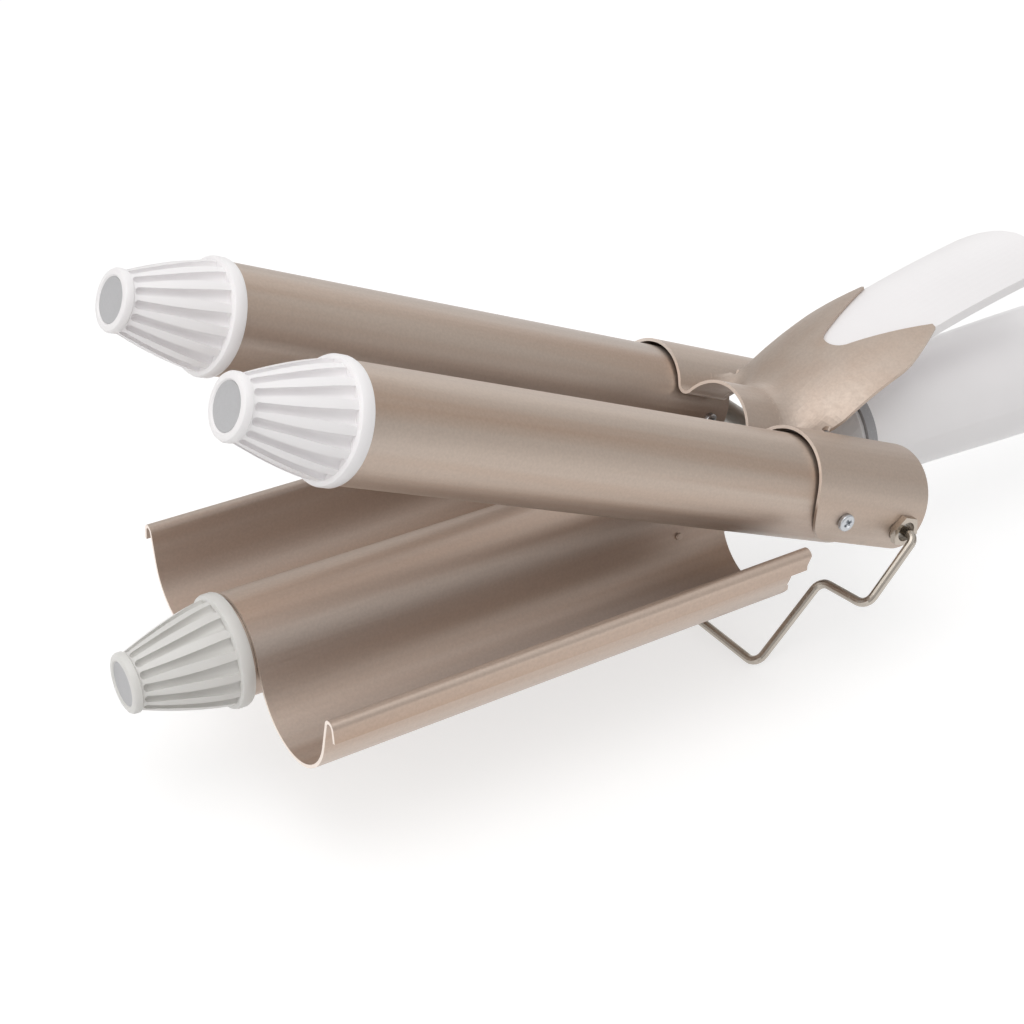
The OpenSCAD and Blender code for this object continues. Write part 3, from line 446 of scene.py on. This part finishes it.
class WAVER_OT_paint_plastic(bpy.types.Operator):
    """Plastics of caps, thumb rest, handle and controls"""

    bl_idname = "waver.paint_plastic"
    bl_label = "Plastics"

    def moulded(self, name, colour, rough, grain_mm, depth, soft=0.0):
        """Injection-moulded plastic: an even tone and a fine moulded grain."""
        made, tree, shader = blank(name)
        coords = add(tree, "ShaderNodeTexCoord")
        grain = add(tree, "ShaderNodeTexNoise", {
            "Vector": coords.outputs["Object"], "Scale": 1.0 / (grain_mm * MM), "Detail": 3.0})
        cloud = add(tree, "ShaderNodeTexNoise", {
            "Vector": coords.outputs["Object"], "Scale": 60.0, "Detail": 1.0})
        tone = add(tree, "ShaderNodeMapRange", {
            "Value": cloud.outputs["Fac"], "To Min": 0.97, "To Max": 1.02})
        shown = add(tree, "ShaderNodeVectorMath", {
            0: tuple(colour)[:3], "Scale": tone.outputs["Result"]}, operation="SCALE")
        gloss = add(tree, "ShaderNodeMapRange", {
            "Value": grain.outputs["Fac"], "To Min": rough - 0.04, "To Max": rough + 0.06})
        bump = add(tree, "ShaderNodeBump", {
            "Height": grain.outputs["Fac"], "Strength": 0.25, "Distance": depth * MM})
        tree.links.new(shown.outputs["Vector"], shader.inputs["Base Color"])
        tree.links.new(gloss.outputs["Result"], shader.inputs["Roughness"])
        tree.links.new(bump.outputs["Normal"], shader.inputs["Normal"])
        shader.inputs["IOR"].default_value = 1.5
        if soft:
            shader.inputs["Subsurface Weight"].default_value = soft
            shader.inputs["Subsurface Scale"].default_value = 1.5 * MM
            shader.inputs["Subsurface Radius"].default_value = (1.0, 0.95, 0.95)
        return made

    def laminate(self):
        """Glass-fibre laminate under solder mask: green, with a 1.2 mm weave showing through."""
        made, tree, shader = blank("Solder-masked laminate")
        coords = add(tree, "ShaderNodeTexCoord")
        weave = add(tree, "ShaderNodeTexChecker", {
            "Vector": coords.outputs["Object"], "Scale": 830.0,
            "Color1": linear("#1f5a39"), "Color2": linear("#256642")})
        tree.links.new(weave.outputs["Color"], shader.inputs["Base Color"])
        shader.inputs["Roughness"].default_value = 0.35
        return made

    def execute(self, context):
        f = context.scene.waver_finishes
        # glass-filled nylon, polished mould: milky white that lets a little light in
        cap = self.moulded("White nylon cap", f.white, 0.34, 0.6, 0.02, soft=0.12)
        dress(cap, "left_cap", "right_cap")
        pale = self.moulded("Pale grey nylon cap", f.pale, 0.34, 0.6, 0.02, soft=0.12)
        dress(pale, "centre_cap")
        # ABS, half gloss
        rest = self.moulded("White ABS thumb rest", f.white, 0.3, 0.6, 0.02)
        dress(rest, "thumb_rest")
        shell = self.moulded("White ABS handle", f.white, 0.3, 0.6, 0.02)
        dress(shell, "upper_shell", "lower_shell")
        dress(self.moulded("Off-white nylon neck", linear("#e8e7e8"), 0.42, 0.7, 0.03), "neck")
        dress(self.moulded("Grey ABS ring", linear("#a6a6a9"), 0.25, 0.6, 0.01), "front_ring")
        dress(self.moulded("White nylon gland", linear("#e4e3e4"), 0.42, 0.7, 0.03), "cord_gland")
        dress(self.moulded("Natural nylon plug", linear("#dddbd7"), 0.5, 0.7, 0.03), "rear_plugs")
        keys = self.moulded("Light grey ABS button", linear("#c9cacd"), 0.38, 0.6, 0.02)
        dress(keys, "power_button", "minus_button", "plus_button")
        dress(self.moulded("Black nylon switch", linear("#1c1c1e"), 0.45, 0.7, 0.02), "switches")
        dress(self.moulded("Black display body", linear("#26282b"), 0.4, 0.7, 0.02),
              "display_module")
        # smoked acrylic, polished: near black, with a clear gloss
        window = self.moulded("Smoked acrylic window", linear("#101215"), 0.09, 1.0, 0.004)
        dress(window, "display_window")
        dress(self.laminate(), "circuit_board")
        return {"FINISHED"}


class WAVER_OT_paint_hardware(bpy.types.Operator):
    """Steel, nickel and heater metals"""

    bl_idname = "waver.paint_hardware"
    bl_label = "Hardware"

    def metal(self, name, colour, low, high, grain_mm):
        """Bare or plated metal whose polish varies in a fine grain."""
        made, tree, shader = blank(name)
        coords = add(tree, "ShaderNodeTexCoord")
        grain = add(tree, "ShaderNodeTexNoise", {
            "Vector": coords.outputs["Object"], "Scale": 1.0 / (grain_mm * MM), "Detail": 2.0})
        polish = add(tree, "ShaderNodeMapRange", {
            "Value": grain.outputs["Fac"], "From Min": 0.3, "From Max": 0.7,
            "To Min": low, "To Max": high})
        tone = add(tree, "ShaderNodeMapRange", {
            "Value": grain.outputs["Fac"], "To Min": 0.88, "To Max": 1.06})
        shown = add(tree, "ShaderNodeVectorMath", {
            0: tuple(colour)[:3], "Scale": tone.outputs["Result"]}, operation="SCALE")
        tree.links.new(shown.outputs["Vector"], shader.inputs["Base Color"])
        tree.links.new(polish.outputs["Result"], shader.inputs["Roughness"])
        shader.inputs["Metallic"].default_value = 1.0
        return made

    def execute(self, context):
        f = context.scene.waver_finishes
        # bright nickel on drawn wire: sharp highlights along the wire
        dress(self.metal("Nickel-plated wire", f.nickel, 0.16, 0.28, 2.0), "wire_stand")
        nut = self.metal("Nickel-plated turned steel", linear("#bdb3a8"), 0.12, 0.24, 0.8)
        dress(nut, "pivot_nuts")
        dull = self.metal("Satin zinc tube", linear("#cfccc8"), 0.5, 0.62, 0.8)
        dress(dull, "spacer_tubes")
        zinc = self.metal("Zinc-plated steel screw", linear("#c9ccd0"), 0.25, 0.42, 0.8)
        dress(zinc, "saddle_screws", "shell_screws")
        dress(self.metal("Ground steel rod", linear("#b9b8b6"), 0.25, 0.35, 0.8), "hinge_rod")
        dress(self.metal("Spring steel wire", linear("#8d8f92"), 0.3, 0.45, 0.8), "jaw_spring")
        cast = self.metal("Cast aluminium heater", linear("#b4b5b6"), 0.4, 0.6, 1.5)
        dress(cast, "left_heater", "right_heater", "centre_heater")
        return {"FINISHED"}


# ---- small fittings ----
class WAVER_OT_screws(bpy.types.Operator):
    """Cross-head screws of the bracket and the handle"""

    bl_idname = "waver.screws"
    bl_label = "Cross-head screws"

    def screw(self, head, tall, shank, length):
        """A pan-head screw at the origin, its head's underside in z = 0."""
        span = bpy.context.scene.waver_fittings.recess * head
        round_over = 0.42 * tall
        # the cross: width of a slot, height of the wedge that cuts it from half above the head,
        # and its turn in radians
        slot, wedge_tall, askew = 0.32 * span, 1.4 * tall, 0.4
        bare()
        bpy.ops.mesh.primitive_cylinder_add(vertices=48, radius=head / 2, depth=tall,
                                            location=(0, 0, tall / 2))
        ob = bpy.context.object
        bpy.ops.object.transform_apply(location=True)
        edit(ob, "EDGE")
        pick(ob, lambda e: all(v.co.z > tall * 0.9 for v in e.verts), "EDGE")
        bpy.ops.mesh.bevel(offset=round_over, segments=6, affect="EDGES")
        bare()
        edit(ob)
        pick(ob, lambda g: g.normal.z < -0.9)
        bpy.ops.mesh.inset(thickness=head / 2 - shank / 2)
        bpy.ops.mesh.extrude_region_move(TRANSFORM_OT_translate={"value": (0, 0, -length)})
        bare()
        # two tapered wedges
        for turn in (0, pi / 2):
            bpy.ops.mesh.primitive_cube_add(size=1, location=(0, 0, tall))
            wedge = bpy.context.object
            wedge.scale = (span, slot, wedge_tall)
            bpy.ops.object.transform_apply(location=True, scale=True)
            edit(wedge)
            pick(wedge, lambda g: g.normal.z < -0.9)
            bpy.ops.transform.resize(value=(0.45, 0.6, 1), center_override=(0, 0, tall))
            bare()
            wedge.data.transform(Matrix.Rotation(turn + askew, 4, "Z"))
            cut(ob, wedge)
            bare()
        return ob

    def execute(self, context):
        fit = context.scene.waver_fittings
        paint = NODES["saddle_screws"].data.materials[0]
        low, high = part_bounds("left_barrel")
        axis_y = -(low.y + high.y) / 2
        made = []
        for where in ("outer", "inner"):
            outside = where == "outer"
            for side, tag in ((-1, "left"), (1, "right")):
                low, high = part_box("saddle_screws", lambda co: co.y * side > 0
                                     and (abs(co.y) > axis_y) == outside)
                head = high.x - low.x
                tall = fit.head_height
                ob = self.screw(head, tall, fit.shank, high.y - low.y - tall)
                ob.name = "saddle_screw_%s_%s" % (where, tag)
                # the head of an outer screw is at the end away from the middle
                way = side if outside else -side
                seat = (high.y if way > 0 else low.y) - way * tall
                place(ob, Vector(((low.x + high.x) / 2, seat, (low.z + high.z) / 2)),
                      Vector((0, way, 0)))
                made.append(ob)
        for ob in made:
            finish(ob, ob.name, "upper_jaw", paint)
            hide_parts("saddle_screws")
        low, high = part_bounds("shell_screws")
        head = high.y - low.y
        tall = fit.shell_head
        shell = self.screw(head, tall, head / 2, high.z - low.z - tall)
        for i, x in enumerate((low.x + head / 2, high.x - head / 2)):
            ob = copy_of(shell, "shell_screw_%d" % i)
            place(ob, Vector((x, 0, low.z + tall)), Vector((0, 0, -1)))
            finish(ob, ob.name, "handle", paint)
            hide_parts("shell_screws")
        bpy.data.objects.remove(shell)
        return {"FINISHED"}


class WAVER_OT_caps(bpy.types.Operator):
    """Fluted caps on the three tubes"""

    bl_idname = "waver.caps"
    bl_label = "Fluted caps"
    # points round a cap for each flute, rings along its cone, and the power of the cone's swell
    steps = 12
    rings = 10
    swell = 1.35
    # how far the flange and the ring at the tip stand above the cone
    flange_step = 1.1 * MM
    ring_step = 0.45 * MM
    # points closer together than this become one
    merge = 0.005 * MM

    def outline(self, inner, flange, spigot):
        """Radius and height of a cap's corners, from inside the spigot over the flange to the tip."""
        fit = bpy.context.scene.waver_fittings
        wall, edge, lip = 1.4 * MM, 0.85 * MM, 0.3 * MM
        tip = fit.cap_len - fit.tip_ring
        root, end = flange - self.flange_step, fit.tip_r - self.ring_step
        rise = [(end + (root - end) * (1 - (i / self.rings) ** self.swell),
                 fit.flange_t + (tip - fit.flange_t) * i / self.rings)
                for i in range(self.rings + 1)]
        return ([(inner - wall, 0.0), (inner - wall, -spigot), (inner, -spigot), (inner, 0.0),
                 (flange - edge, 0.0), (flange - 0.3 * edge, 0.3 * edge), (flange, edge),
                 (flange, fit.flange_t - edge), (flange - 0.3 * edge, fit.flange_t - 0.3 * edge),
                 (flange - edge, fit.flange_t)] + rise
                + [(fit.tip_r, tip + 0.4 * MM), (fit.tip_r, fit.cap_len - 0.8 * MM),
                   (fit.tip_r - lip, fit.cap_len - 0.25 * MM), (fit.tip_r - 0.8 * MM, fit.cap_len),
                   (fit.tip_bore + lip, fit.cap_len), (fit.tip_bore, fit.cap_len - lip),
                   (fit.tip_bore, fit.cap_len - fit.disc_depth - 0.02 * MM)])

    def turned(self, corners):
        """A closed solid about +Z: a disc extruded from corner to corner of its outline."""
        fit = bpy.context.scene.waver_fittings
        bare()
        radius, level = corners[0]
        bpy.ops.mesh.primitive_circle_add(vertices=self.steps * fit.flutes, radius=radius,
                                          fill_type="NGON", location=(0, 0, level))
        ob = bpy.context.object
        bpy.ops.object.transform_apply(location=True)
        edit(ob)
        bpy.ops.mesh.select_all(action="SELECT")
        for wide, high in corners[1:]:
            bpy.ops.mesh.extrude_region_move(
                TRANSFORM_OT_translate={"value": (0, 0, high - level)})
            bpy.ops.transform.resize(value=(wide / radius, wide / radius, 1),
                                     center_override=(0, 0, high))
            radius, level = wide, high
        bpy.ops.mesh.select_all(action="SELECT")
        bpy.ops.mesh.normals_make_consistent(inside=False)
        bare()
        return ob

    def ring_of(self, tool, place_one, turn):
        """Copies of a cutter round the cap, as one mesh. The first lies half a flute from turn."""
        count = bpy.context.scene.waver_fittings.flutes
        tool.data.transform(place_one)
        made = []
        for i in range(count):
            ob = copy_of(tool, "flute_cutter")
            ob.data.transform(Matrix.Rotation(turn + (i + 0.5) * 2 * pi / count, 4, "Z"))
            made.append(ob)
        bpy.data.objects.remove(tool)
        return join(made[0], *made[1:])

    def flute(self, ob, root, turn):
        """Cuts tapered grooves with a round bottom and a round end."""
        fit = bpy.context.scene.waver_fittings
        end = fit.tip_r - self.ring_step
        run = fit.cap_len - fit.tip_ring - fit.flange_t - fit.flute_end - 0.2 * MM
        tilt = atan2(root - end, run)
        long = run / cos(tilt)
        seat = (Matrix.Translation((root - fit.flute_sink, 0, fit.flange_t + 0.05 * MM))
                @ Matrix.Rotation(-tilt, 4, "Y"))
        bare()
        bpy.ops.mesh.primitive_cone_add(vertices=32, radius1=fit.flute, radius2=fit.flute_end,
                                        depth=long, location=(0, 0, long / 2))
        groove = bpy.context.object
        bpy.ops.object.transform_apply(location=True)
        cut(ob, self.ring_of(groove, seat, turn))
        bare()
        # a hair larger than the cone's end, so that their faces don't coincide
        bpy.ops.mesh.primitive_uv_sphere_add(segments=32, ring_count=16,
                                             radius=1.03 * fit.flute_end, location=(0, 0, long))
        ball = bpy.context.object
        bpy.ops.object.transform_apply(location=True)
        cut(ob, self.ring_of(ball, seat, turn))

    def execute(self, context):
        fit = context.scene.waver_fittings
        for tag, to_tip, body, slot, turn in CAPS:
            at, low, high = on_cap(tag, to_tip, fit.cap_len)
            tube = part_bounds(tag + "_barrel")
            flange = (high.y - low.y) / 2
            inner = (tube[1].y - tube[0].y) / 2 - fit.tube_wall
            spigot = high.x - low.x - fit.cap_len
            ob = self.turned(self.outline(inner, flange, spigot))
            self.flute(ob, flange - self.flange_step, turn)
            # the cuts leave slivers
            edit(ob)
            bpy.ops.mesh.select_all(action="SELECT")
            bpy.ops.mesh.remove_doubles(threshold=self.merge)
            bpy.ops.mesh.dissolve_degenerate(threshold=self.merge / 5)
            bare()
            place(ob, at, to_tip)
            finish(ob, "fluted_cap_" + tag, body, NODES[tag + "_cap"].data.materials[0])
            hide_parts(tag + "_cap")
        return {"FINISHED"}


class WAVER_OT_tip_discs(bpy.types.Operator):
    """Discs pressed into the tips of the three caps"""

    bl_idname = "waver.tip_discs"
    bl_label = "Tip discs"

    def satin(self):
        """Satin grey nylon with a fine moulded grain."""
        made, tree, shader = blank("Satin grey nylon disc")
        coords = add(tree, "ShaderNodeTexCoord")
        grain = add(tree, "ShaderNodeTexNoise", {
            "Vector": coords.outputs["Object"], "Scale": 1500.0, "Detail": 2.0})
        shade = add(tree, "ShaderNodeMapRange", {
            "Value": grain.outputs["Fac"], "To Min": 0.94, "To Max": 1.04})
        shown = add(tree, "ShaderNodeVectorMath", {
            0: tuple(linear("#bdbdbf"))[:3], "Scale": shade.outputs["Result"]},
            operation="SCALE")
        tree.links.new(shown.outputs["Vector"], shader.inputs["Base Color"])
        shader.inputs["Roughness"].default_value = 0.5
        return made

    def execute(self, context):
        fit = context.scene.waver_fittings
        grey = self.satin()
        bare()
        thick = 0.9 * MM
        bpy.ops.mesh.primitive_cylinder_add(vertices=64, radius=fit.disc, depth=thick,
                                            location=(0, 0, thick / 2))
        disc = bpy.context.object
        bpy.ops.object.transform_apply(location=True)
        # a shallow dish: inset rings step down to the middle
        for inset, drop in ((0.35 * MM, 0.0), (0.25 * MM, -0.12 * MM), (1.9 * MM, -0.04 * MM)):
            edit(disc)
            pick(disc, lambda g: g.normal.z > 0.9 and g.calc_area() == max(
                h.calc_area() for h in bmesh.from_edit_mesh(disc.data).faces
                if h.normal.z > 0.9))
            bpy.ops.mesh.inset(thickness=inset)
            bpy.ops.transform.translate(value=(0, 0, drop))
            bare()
        for tag, to_tip, body, _, _ in CAPS:
            at, _, _ = on_cap(tag, to_tip, fit.disc_depth)
            ob = copy_of(disc, "tip_disc_" + tag)
            place(ob, at, to_tip)
            finish(ob, ob.name, body, grey)
        bpy.data.objects.remove(disc)
        return {"FINISHED"}


class WAVER_OT_marks(bpy.types.Operator):
    """Marks on the buttons and digits in the display"""

    bl_idname = "waver.marks"
    bl_label = "Marks and digits"
    # length of a stroke, and its height
    stroke = 3.4 * MM
    tall = 0.12 * MM

    def bar(self, length, width, tall):
        """A low bar with rounded ends at the origin, on z = 0."""
        bare()
        bpy.ops.mesh.primitive_cube_add(size=1, location=(0, 0, tall / 2))
        ob = bpy.context.object
        ob.scale = (length, width, tall)
        bpy.ops.object.transform_apply(location=True, scale=True)
        edit(ob, "EDGE")
        pick(ob, lambda e: abs(e.verts[0].co.z - e.verts[1].co.z) > tall / 2, "EDGE")
        bpy.ops.mesh.bevel(offset=width * 0.49, segments=4, affect="EDGES")
        bare()
        return ob

    def ink(self):
        """Pad-printed grey ink, matt with a fine grain."""
        made, tree, shader = blank("Pad-printed grey ink")
        coords = add(tree, "ShaderNodeTexCoord")
        grain = add(tree, "ShaderNodeTexNoise", {
            "Vector": coords.outputs["Object"], "Scale": 3000.0})
        rough = add(tree, "ShaderNodeMapRange", {
            "Value": grain.outputs["Fac"], "To Min": 0.4, "To Max": 0.6})
        tree.links.new(rough.outputs["Result"], shader.inputs["Roughness"])
        shader.inputs["Base Color"].default_value = linear("#5b5c60")
        return made

    def glow(self):
        """Lit display segment, pale blue."""
        made, _, shader = blank("Lit display segment")
        shader.inputs["Base Color"].default_value = linear("#d8e6ee")
        shader.inputs["Emission Color"].default_value = linear("#cfe6f2")
        shader.inputs["Emission Strength"].default_value = 0.45
        return made

    def top(self, name):
        """The middle of a button's top."""
        low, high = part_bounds(name + "_button")
        return Vector(((low.x + high.x) / 2, (low.y + high.y) / 2, high.z - SUNK))

    def minus(self, width, ink):
        """One stroke."""
        dash = self.bar(self.stroke, width, self.tall)
        place(dash, self.top("minus"), Vector((0, 0, 1)), Vector((1, 0, 0)))
        finish(dash, "minus_mark", "minus", ink)

    def plus(self, width, ink):
        """Two crossed strokes."""
        first = self.bar(self.stroke, width, self.tall)
        # a hair lower, so that their tops don't coincide
        second = self.bar(self.stroke, width, self.tall * 0.98)
        second.data.transform(Matrix.Rotation(pi / 2, 4, "Z"))
        cross = join(first, second)
        place(cross, self.top("plus"), Vector((0, 0, 1)))
        finish(cross, "plus_mark", "plus", ink)

    def power(self, width, ink):
        """A ring open at one side, with a stem in the gap."""
        ring_r, stem_len, stem_x = 2.1 * MM, 2.2 * MM, -1.9 * MM
        # the ring is open where x is below gap_x and y within gap_y
        gap_x, gap_y = -1.5 * MM, 1.05 * MM
        bare()
        bpy.ops.mesh.primitive_torus_add(major_radius=ring_r, minor_radius=width / 2,
                                         major_segments=48, minor_segments=8)
        ring = bpy.context.object
        edit(ring)
        pick(ring, lambda g: g.calc_center_median().x < gap_x
             and abs(g.calc_center_median().y) < gap_y)
        bpy.ops.mesh.delete(type="FACE")
        pick(ring, lambda e: e.is_boundary, "EDGE")
        bpy.ops.mesh.edge_face_add()
        bare()
        # flattened to a little less than the strokes' height over the button
        ring.data.transform(Matrix.Diagonal((1, 1, self.tall / width * 1.6, 1)))
        stem = self.bar(stem_len, width, self.tall)
        stem.data.transform(Matrix.Translation((stem_x, 0, 0)))
        sign = join(ring, stem)
        sign.data.transform(Matrix.Translation(self.top("power")))
        finish(sign, "power_mark", "power", ink)

    def digits(self, height):
        """Upright seven-bar numerals on the window's face."""
        low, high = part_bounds("display_window")
        half = height / 4
        # top, top left, top right, middle, bottom left, bottom right, bottom
        bars = {"1": "0010010", "8": "1111111", "0": "1110111"}
        seats = [(0, 2, 0), (-1, 1, 1), (1, 1, 1), (0, 0, 0), (-1, -1, 1), (1, -1, 1), (0, -2, 0)]
        # a segment's length, width and height, and the step from digit to digit
        segment, pitch = (half * 1.8, 0.5 * MM, 0.06 * MM), 3.1
        model = self.bar(*segment)
        pieces = []
        for i, digit in enumerate("180"):
            for lit, (u, v, upright) in zip(bars[digit], seats):
                if lit == "0":
                    continue
                ob = copy_of(model, "segment")
                if upright:
                    ob.data.transform(Matrix.Rotation(pi / 2, 4, "Z"))
                ob.data.transform(Matrix.Translation(
                    (u * half + (i - 1) * half * pitch, v * half, 0)))
                pieces.append(ob)
        shown = join(pieces[0], *pieces[1:])
        # centred by what is lit, since a 1 leaves its left half dark
        points = [v.co for v in shown.data.vertices]
        corners = [Vector([end(p[i] for p in points) for i in range(2)] + [0.0])
                   for end in (min, max)]
        shown.data.transform(Matrix.Translation(-(corners[0] + corners[1]) / 2))
        if (corners[1] - corners[0]).x > (high - low).y:
            raise ValueError("the digits are wider than the display window")
        middle = (low + high) / 2
        # read from behind the handle's end, so the digits' top points to the tips
        shown.data.transform(Matrix.Rotation(pi / 2, 4, "Z"))
        shown.data.transform(Matrix.Translation((middle.x, middle.y, high.z - SUNK)))
        finish(shown, "display_digits", "handle", self.glow())
        bpy.data.objects.remove(model)

    def execute(self, context):
        fit = context.scene.waver_fittings
        ink = self.ink()
        self.minus(fit.mark, ink)
        self.plus(fit.mark, ink)
        self.power(fit.mark, ink)
        self.digits(fit.digit)
        return {"FINISHED"}


# ---- studio ----
class WAVER_OT_studio(bpy.types.Operator):
    """Floor, lamps, surround and camera"""

    bl_idname = "waver.studio"
    bl_label = "Studio"

    # what the lamps point at
    aim = Vector((-0.05, 0, 0.06))

    def lamp(self, name, where, size, power, colour):
        """A rectangular softbox that points at the waver."""
        data = bpy.data.lights.new(name, "AREA")
        data.shape = "RECTANGLE"
        data.size, data.size_y = size
        data.energy = power
        data.color = colour
        ob = bpy.data.objects.new(name, data)
        bpy.context.scene.collection.objects.link(ob)
        ob.location = where
        ob.rotation_euler = (self.aim - Vector(where)).to_track_quat("-Z", "Y").to_euler()

    def floor(self):
        """Pale floor that takes the shadow."""
        bare()
        # a little below the waver, so that the two don't coincide
        bpy.ops.mesh.primitive_plane_add(size=30.0, location=(0, 0, -0.2 * MM))
        floor = bpy.context.object
        floor.name = "studio_floor"
        made, tree, shader = blank("White studio floor")
        shader.inputs["Base Color"].default_value = linear("#e6e6e6")
        shader.inputs["Roughness"].default_value = 0.9
        shader.inputs["Specular IOR Level"].default_value = 0.0
        # seen directly or in a reflection the floor is white, and still takes the shadow
        seen = add(tree, "ShaderNodeBsdfDiffuse", {"Color": linear("#bcbcbc")})
        lift = add(tree, "ShaderNodeEmission", {"Color": (1, 1, 1, 1), "Strength": 0.62})
        white = add(tree, "ShaderNodeAddShader", {
            0: seen.outputs["BSDF"], 1: lift.outputs["Emission"]})
        path = add(tree, "ShaderNodeLightPath")
        direct = add(tree, "ShaderNodeMath", {
            0: path.outputs["Is Camera Ray"], 1: path.outputs["Is Glossy Ray"]},
            operation="MAXIMUM")
        direct = add(tree, "ShaderNodeMath", {
            0: direct.outputs["Value"], 1: path.outputs["Is Transmission Ray"]},
            operation="MAXIMUM")
        mix = add(tree, "ShaderNodeMixShader", {
            0: direct.outputs["Value"], 1: shader.outputs["BSDF"], 2: white.outputs["Shader"]})
        tree.links.new(mix.outputs["Shader"], tree.get_output_node("ALL").inputs["Surface"])
        floor.data.materials.append(made)

    def surround(self, strength):
        """Studio walls and ceiling, seen as plain white by the camera."""
        world = bpy.data.worlds.new("Studio surround")
        bpy.context.scene.world = world
        world.use_nodes = True
        tree = world.node_tree
        tree.nodes.clear()
        coords = add(tree, "ShaderNodeTexCoord")
        split = add(tree, "ShaderNodeSeparateXYZ", {"Vector": coords.outputs["Generated"]})
        # a broad overhead box over a dimmer horizon
        ramp = add(tree, "ShaderNodeValToRGB", {"Fac": split.outputs["Z"]})
        stops = ramp.color_ramp.elements
        stops[0].position, stops[0].color = 0.0, (0.47, 0.46, 0.45, 1)
        stops[1].position, stops[1].color = 0.72, (0.78, 0.78, 0.78, 1)
        near = stops.new(0.3)
        near.color = (0.52, 0.51, 0.50, 1)
        path = add(tree, "ShaderNodeLightPath")
        reflected = add(tree, "ShaderNodeMath", {
            0: path.outputs["Is Glossy Ray"], 1: path.outputs["Is Transmission Ray"]},
            operation="MAXIMUM")
        level = add(tree, "ShaderNodeMapRange", {
            "Value": reflected.outputs["Value"], "To Min": strength, "To Max": 1.0})
        light = add(tree, "ShaderNodeBackground", {
            "Color": ramp.outputs["Color"], "Strength": level.outputs["Result"]})
        plain = add(tree, "ShaderNodeBackground", {"Color": (1, 1, 1, 1), "Strength": 1.0})
        mix = add(tree, "ShaderNodeMixShader", {
            0: path.outputs["Is Camera Ray"], 1: light.outputs["Background"],
            2: plain.outputs["Background"]})
        add(tree, "ShaderNodeOutputWorld", {"Surface": mix.outputs["Shader"]})

    def camera(self, s):
        """Camera at a place of its own, turned by azimuth, elevation and roll."""
        camera = bpy.data.cameras.new("Studio camera")
        camera.lens = s.lens
        camera.sensor_width = 36.0
        camera.clip_start = 0.01
        camera.clip_end = 20.0
        ob = bpy.data.objects.new("Studio camera", camera)
        bpy.context.scene.collection.objects.link(ob)
        back = Vector((sin(s.turn) * cos(s.rise), -cos(s.turn) * cos(s.rise), sin(s.rise)))
        right = (-back).cross(Vector((0, 0, 1))).normalized()
        up = back.cross(right)
        level = right * cos(s.roll) + up * sin(s.roll)
        upright = up * cos(s.roll) - right * sin(s.roll)
        turn = Matrix((level, upright, back)).transposed().to_4x4()
        ob.matrix_world = Matrix.Translation(Vector(s.eye)) @ turn
        bpy.context.scene.camera = ob

    def execute(self, context):
        s = context.scene.waver_studio
        self.floor()
        self.surround(s.sky)
        self.lamp("Overhead softbox", (-0.25, -0.15, 0.75), (0.7, 0.5), s.key, (1, 0.99, 0.98))
        self.lamp("Front softbox", (-0.85, -0.12, 0.4), (0.5, 0.5), s.front, (1, 0.98, 0.96))
        self.lamp("Back softbox", (0.55, 0.5, 0.4), (0.6, 0.5), s.back, (1, 1, 1))
        self.camera(s)
        context.scene.view_settings.view_transform = "Standard"
        return {"FINISHED"}


class WAVER_PT_panel(bpy.types.Panel):
    """Sizes, colours and steps of the hair waver"""

    bl_label = "Hair waver"
    bl_idname = "WAVER_PT_panel"
    bl_space_type = "VIEW_3D"
    bl_region_type = "UI"
    bl_category = "Waver"

    def draw(self, context):
        for group in ("waver_finishes", "waver_fittings", "waver_studio"):
            box = self.layout.box()
            props = getattr(context.scene, group)
            for key in props.__annotations__:
                box.prop(props, key)
        for step in STEPS:
            self.layout.operator(step.bl_idname)


GROUPS = (("waver_finishes", WaverFinishes), ("waver_fittings", WaverFittings),
          ("waver_studio", WaverStudio))
STEPS = (WAVER_OT_studio, WAVER_OT_paint_metal, WAVER_OT_paint_plastic,
         WAVER_OT_paint_hardware, WAVER_OT_screws, WAVER_OT_caps, WAVER_OT_tip_discs,
         WAVER_OT_marks)


def register():
    for name, group in GROUPS:
        bpy.utils.register_class(group)
        setattr(bpy.types.Scene, name, bpy.props.PointerProperty(type=group))
    for step in STEPS:
        bpy.utils.register_class(step)
    bpy.utils.register_class(WAVER_PT_panel)


def unregister():
    bpy.utils.unregister_class(WAVER_PT_panel)
    for step in reversed(STEPS):
        bpy.utils.unregister_class(step)
    for name, group in reversed(GROUPS):
        delattr(bpy.types.Scene, name)
        bpy.utils.unregister_class(group)


def main():
    register()
    bpy.ops.waver.studio()
    bpy.ops.waver.paint_metal()
    bpy.ops.waver.paint_plastic()
    bpy.ops.waver.paint_hardware()
    bpy.ops.waver.screws()
    bpy.ops.waver.caps()
    bpy.ops.waver.tip_discs()
    bpy.ops.waver.marks()


if __name__ == "__main__":
    main()
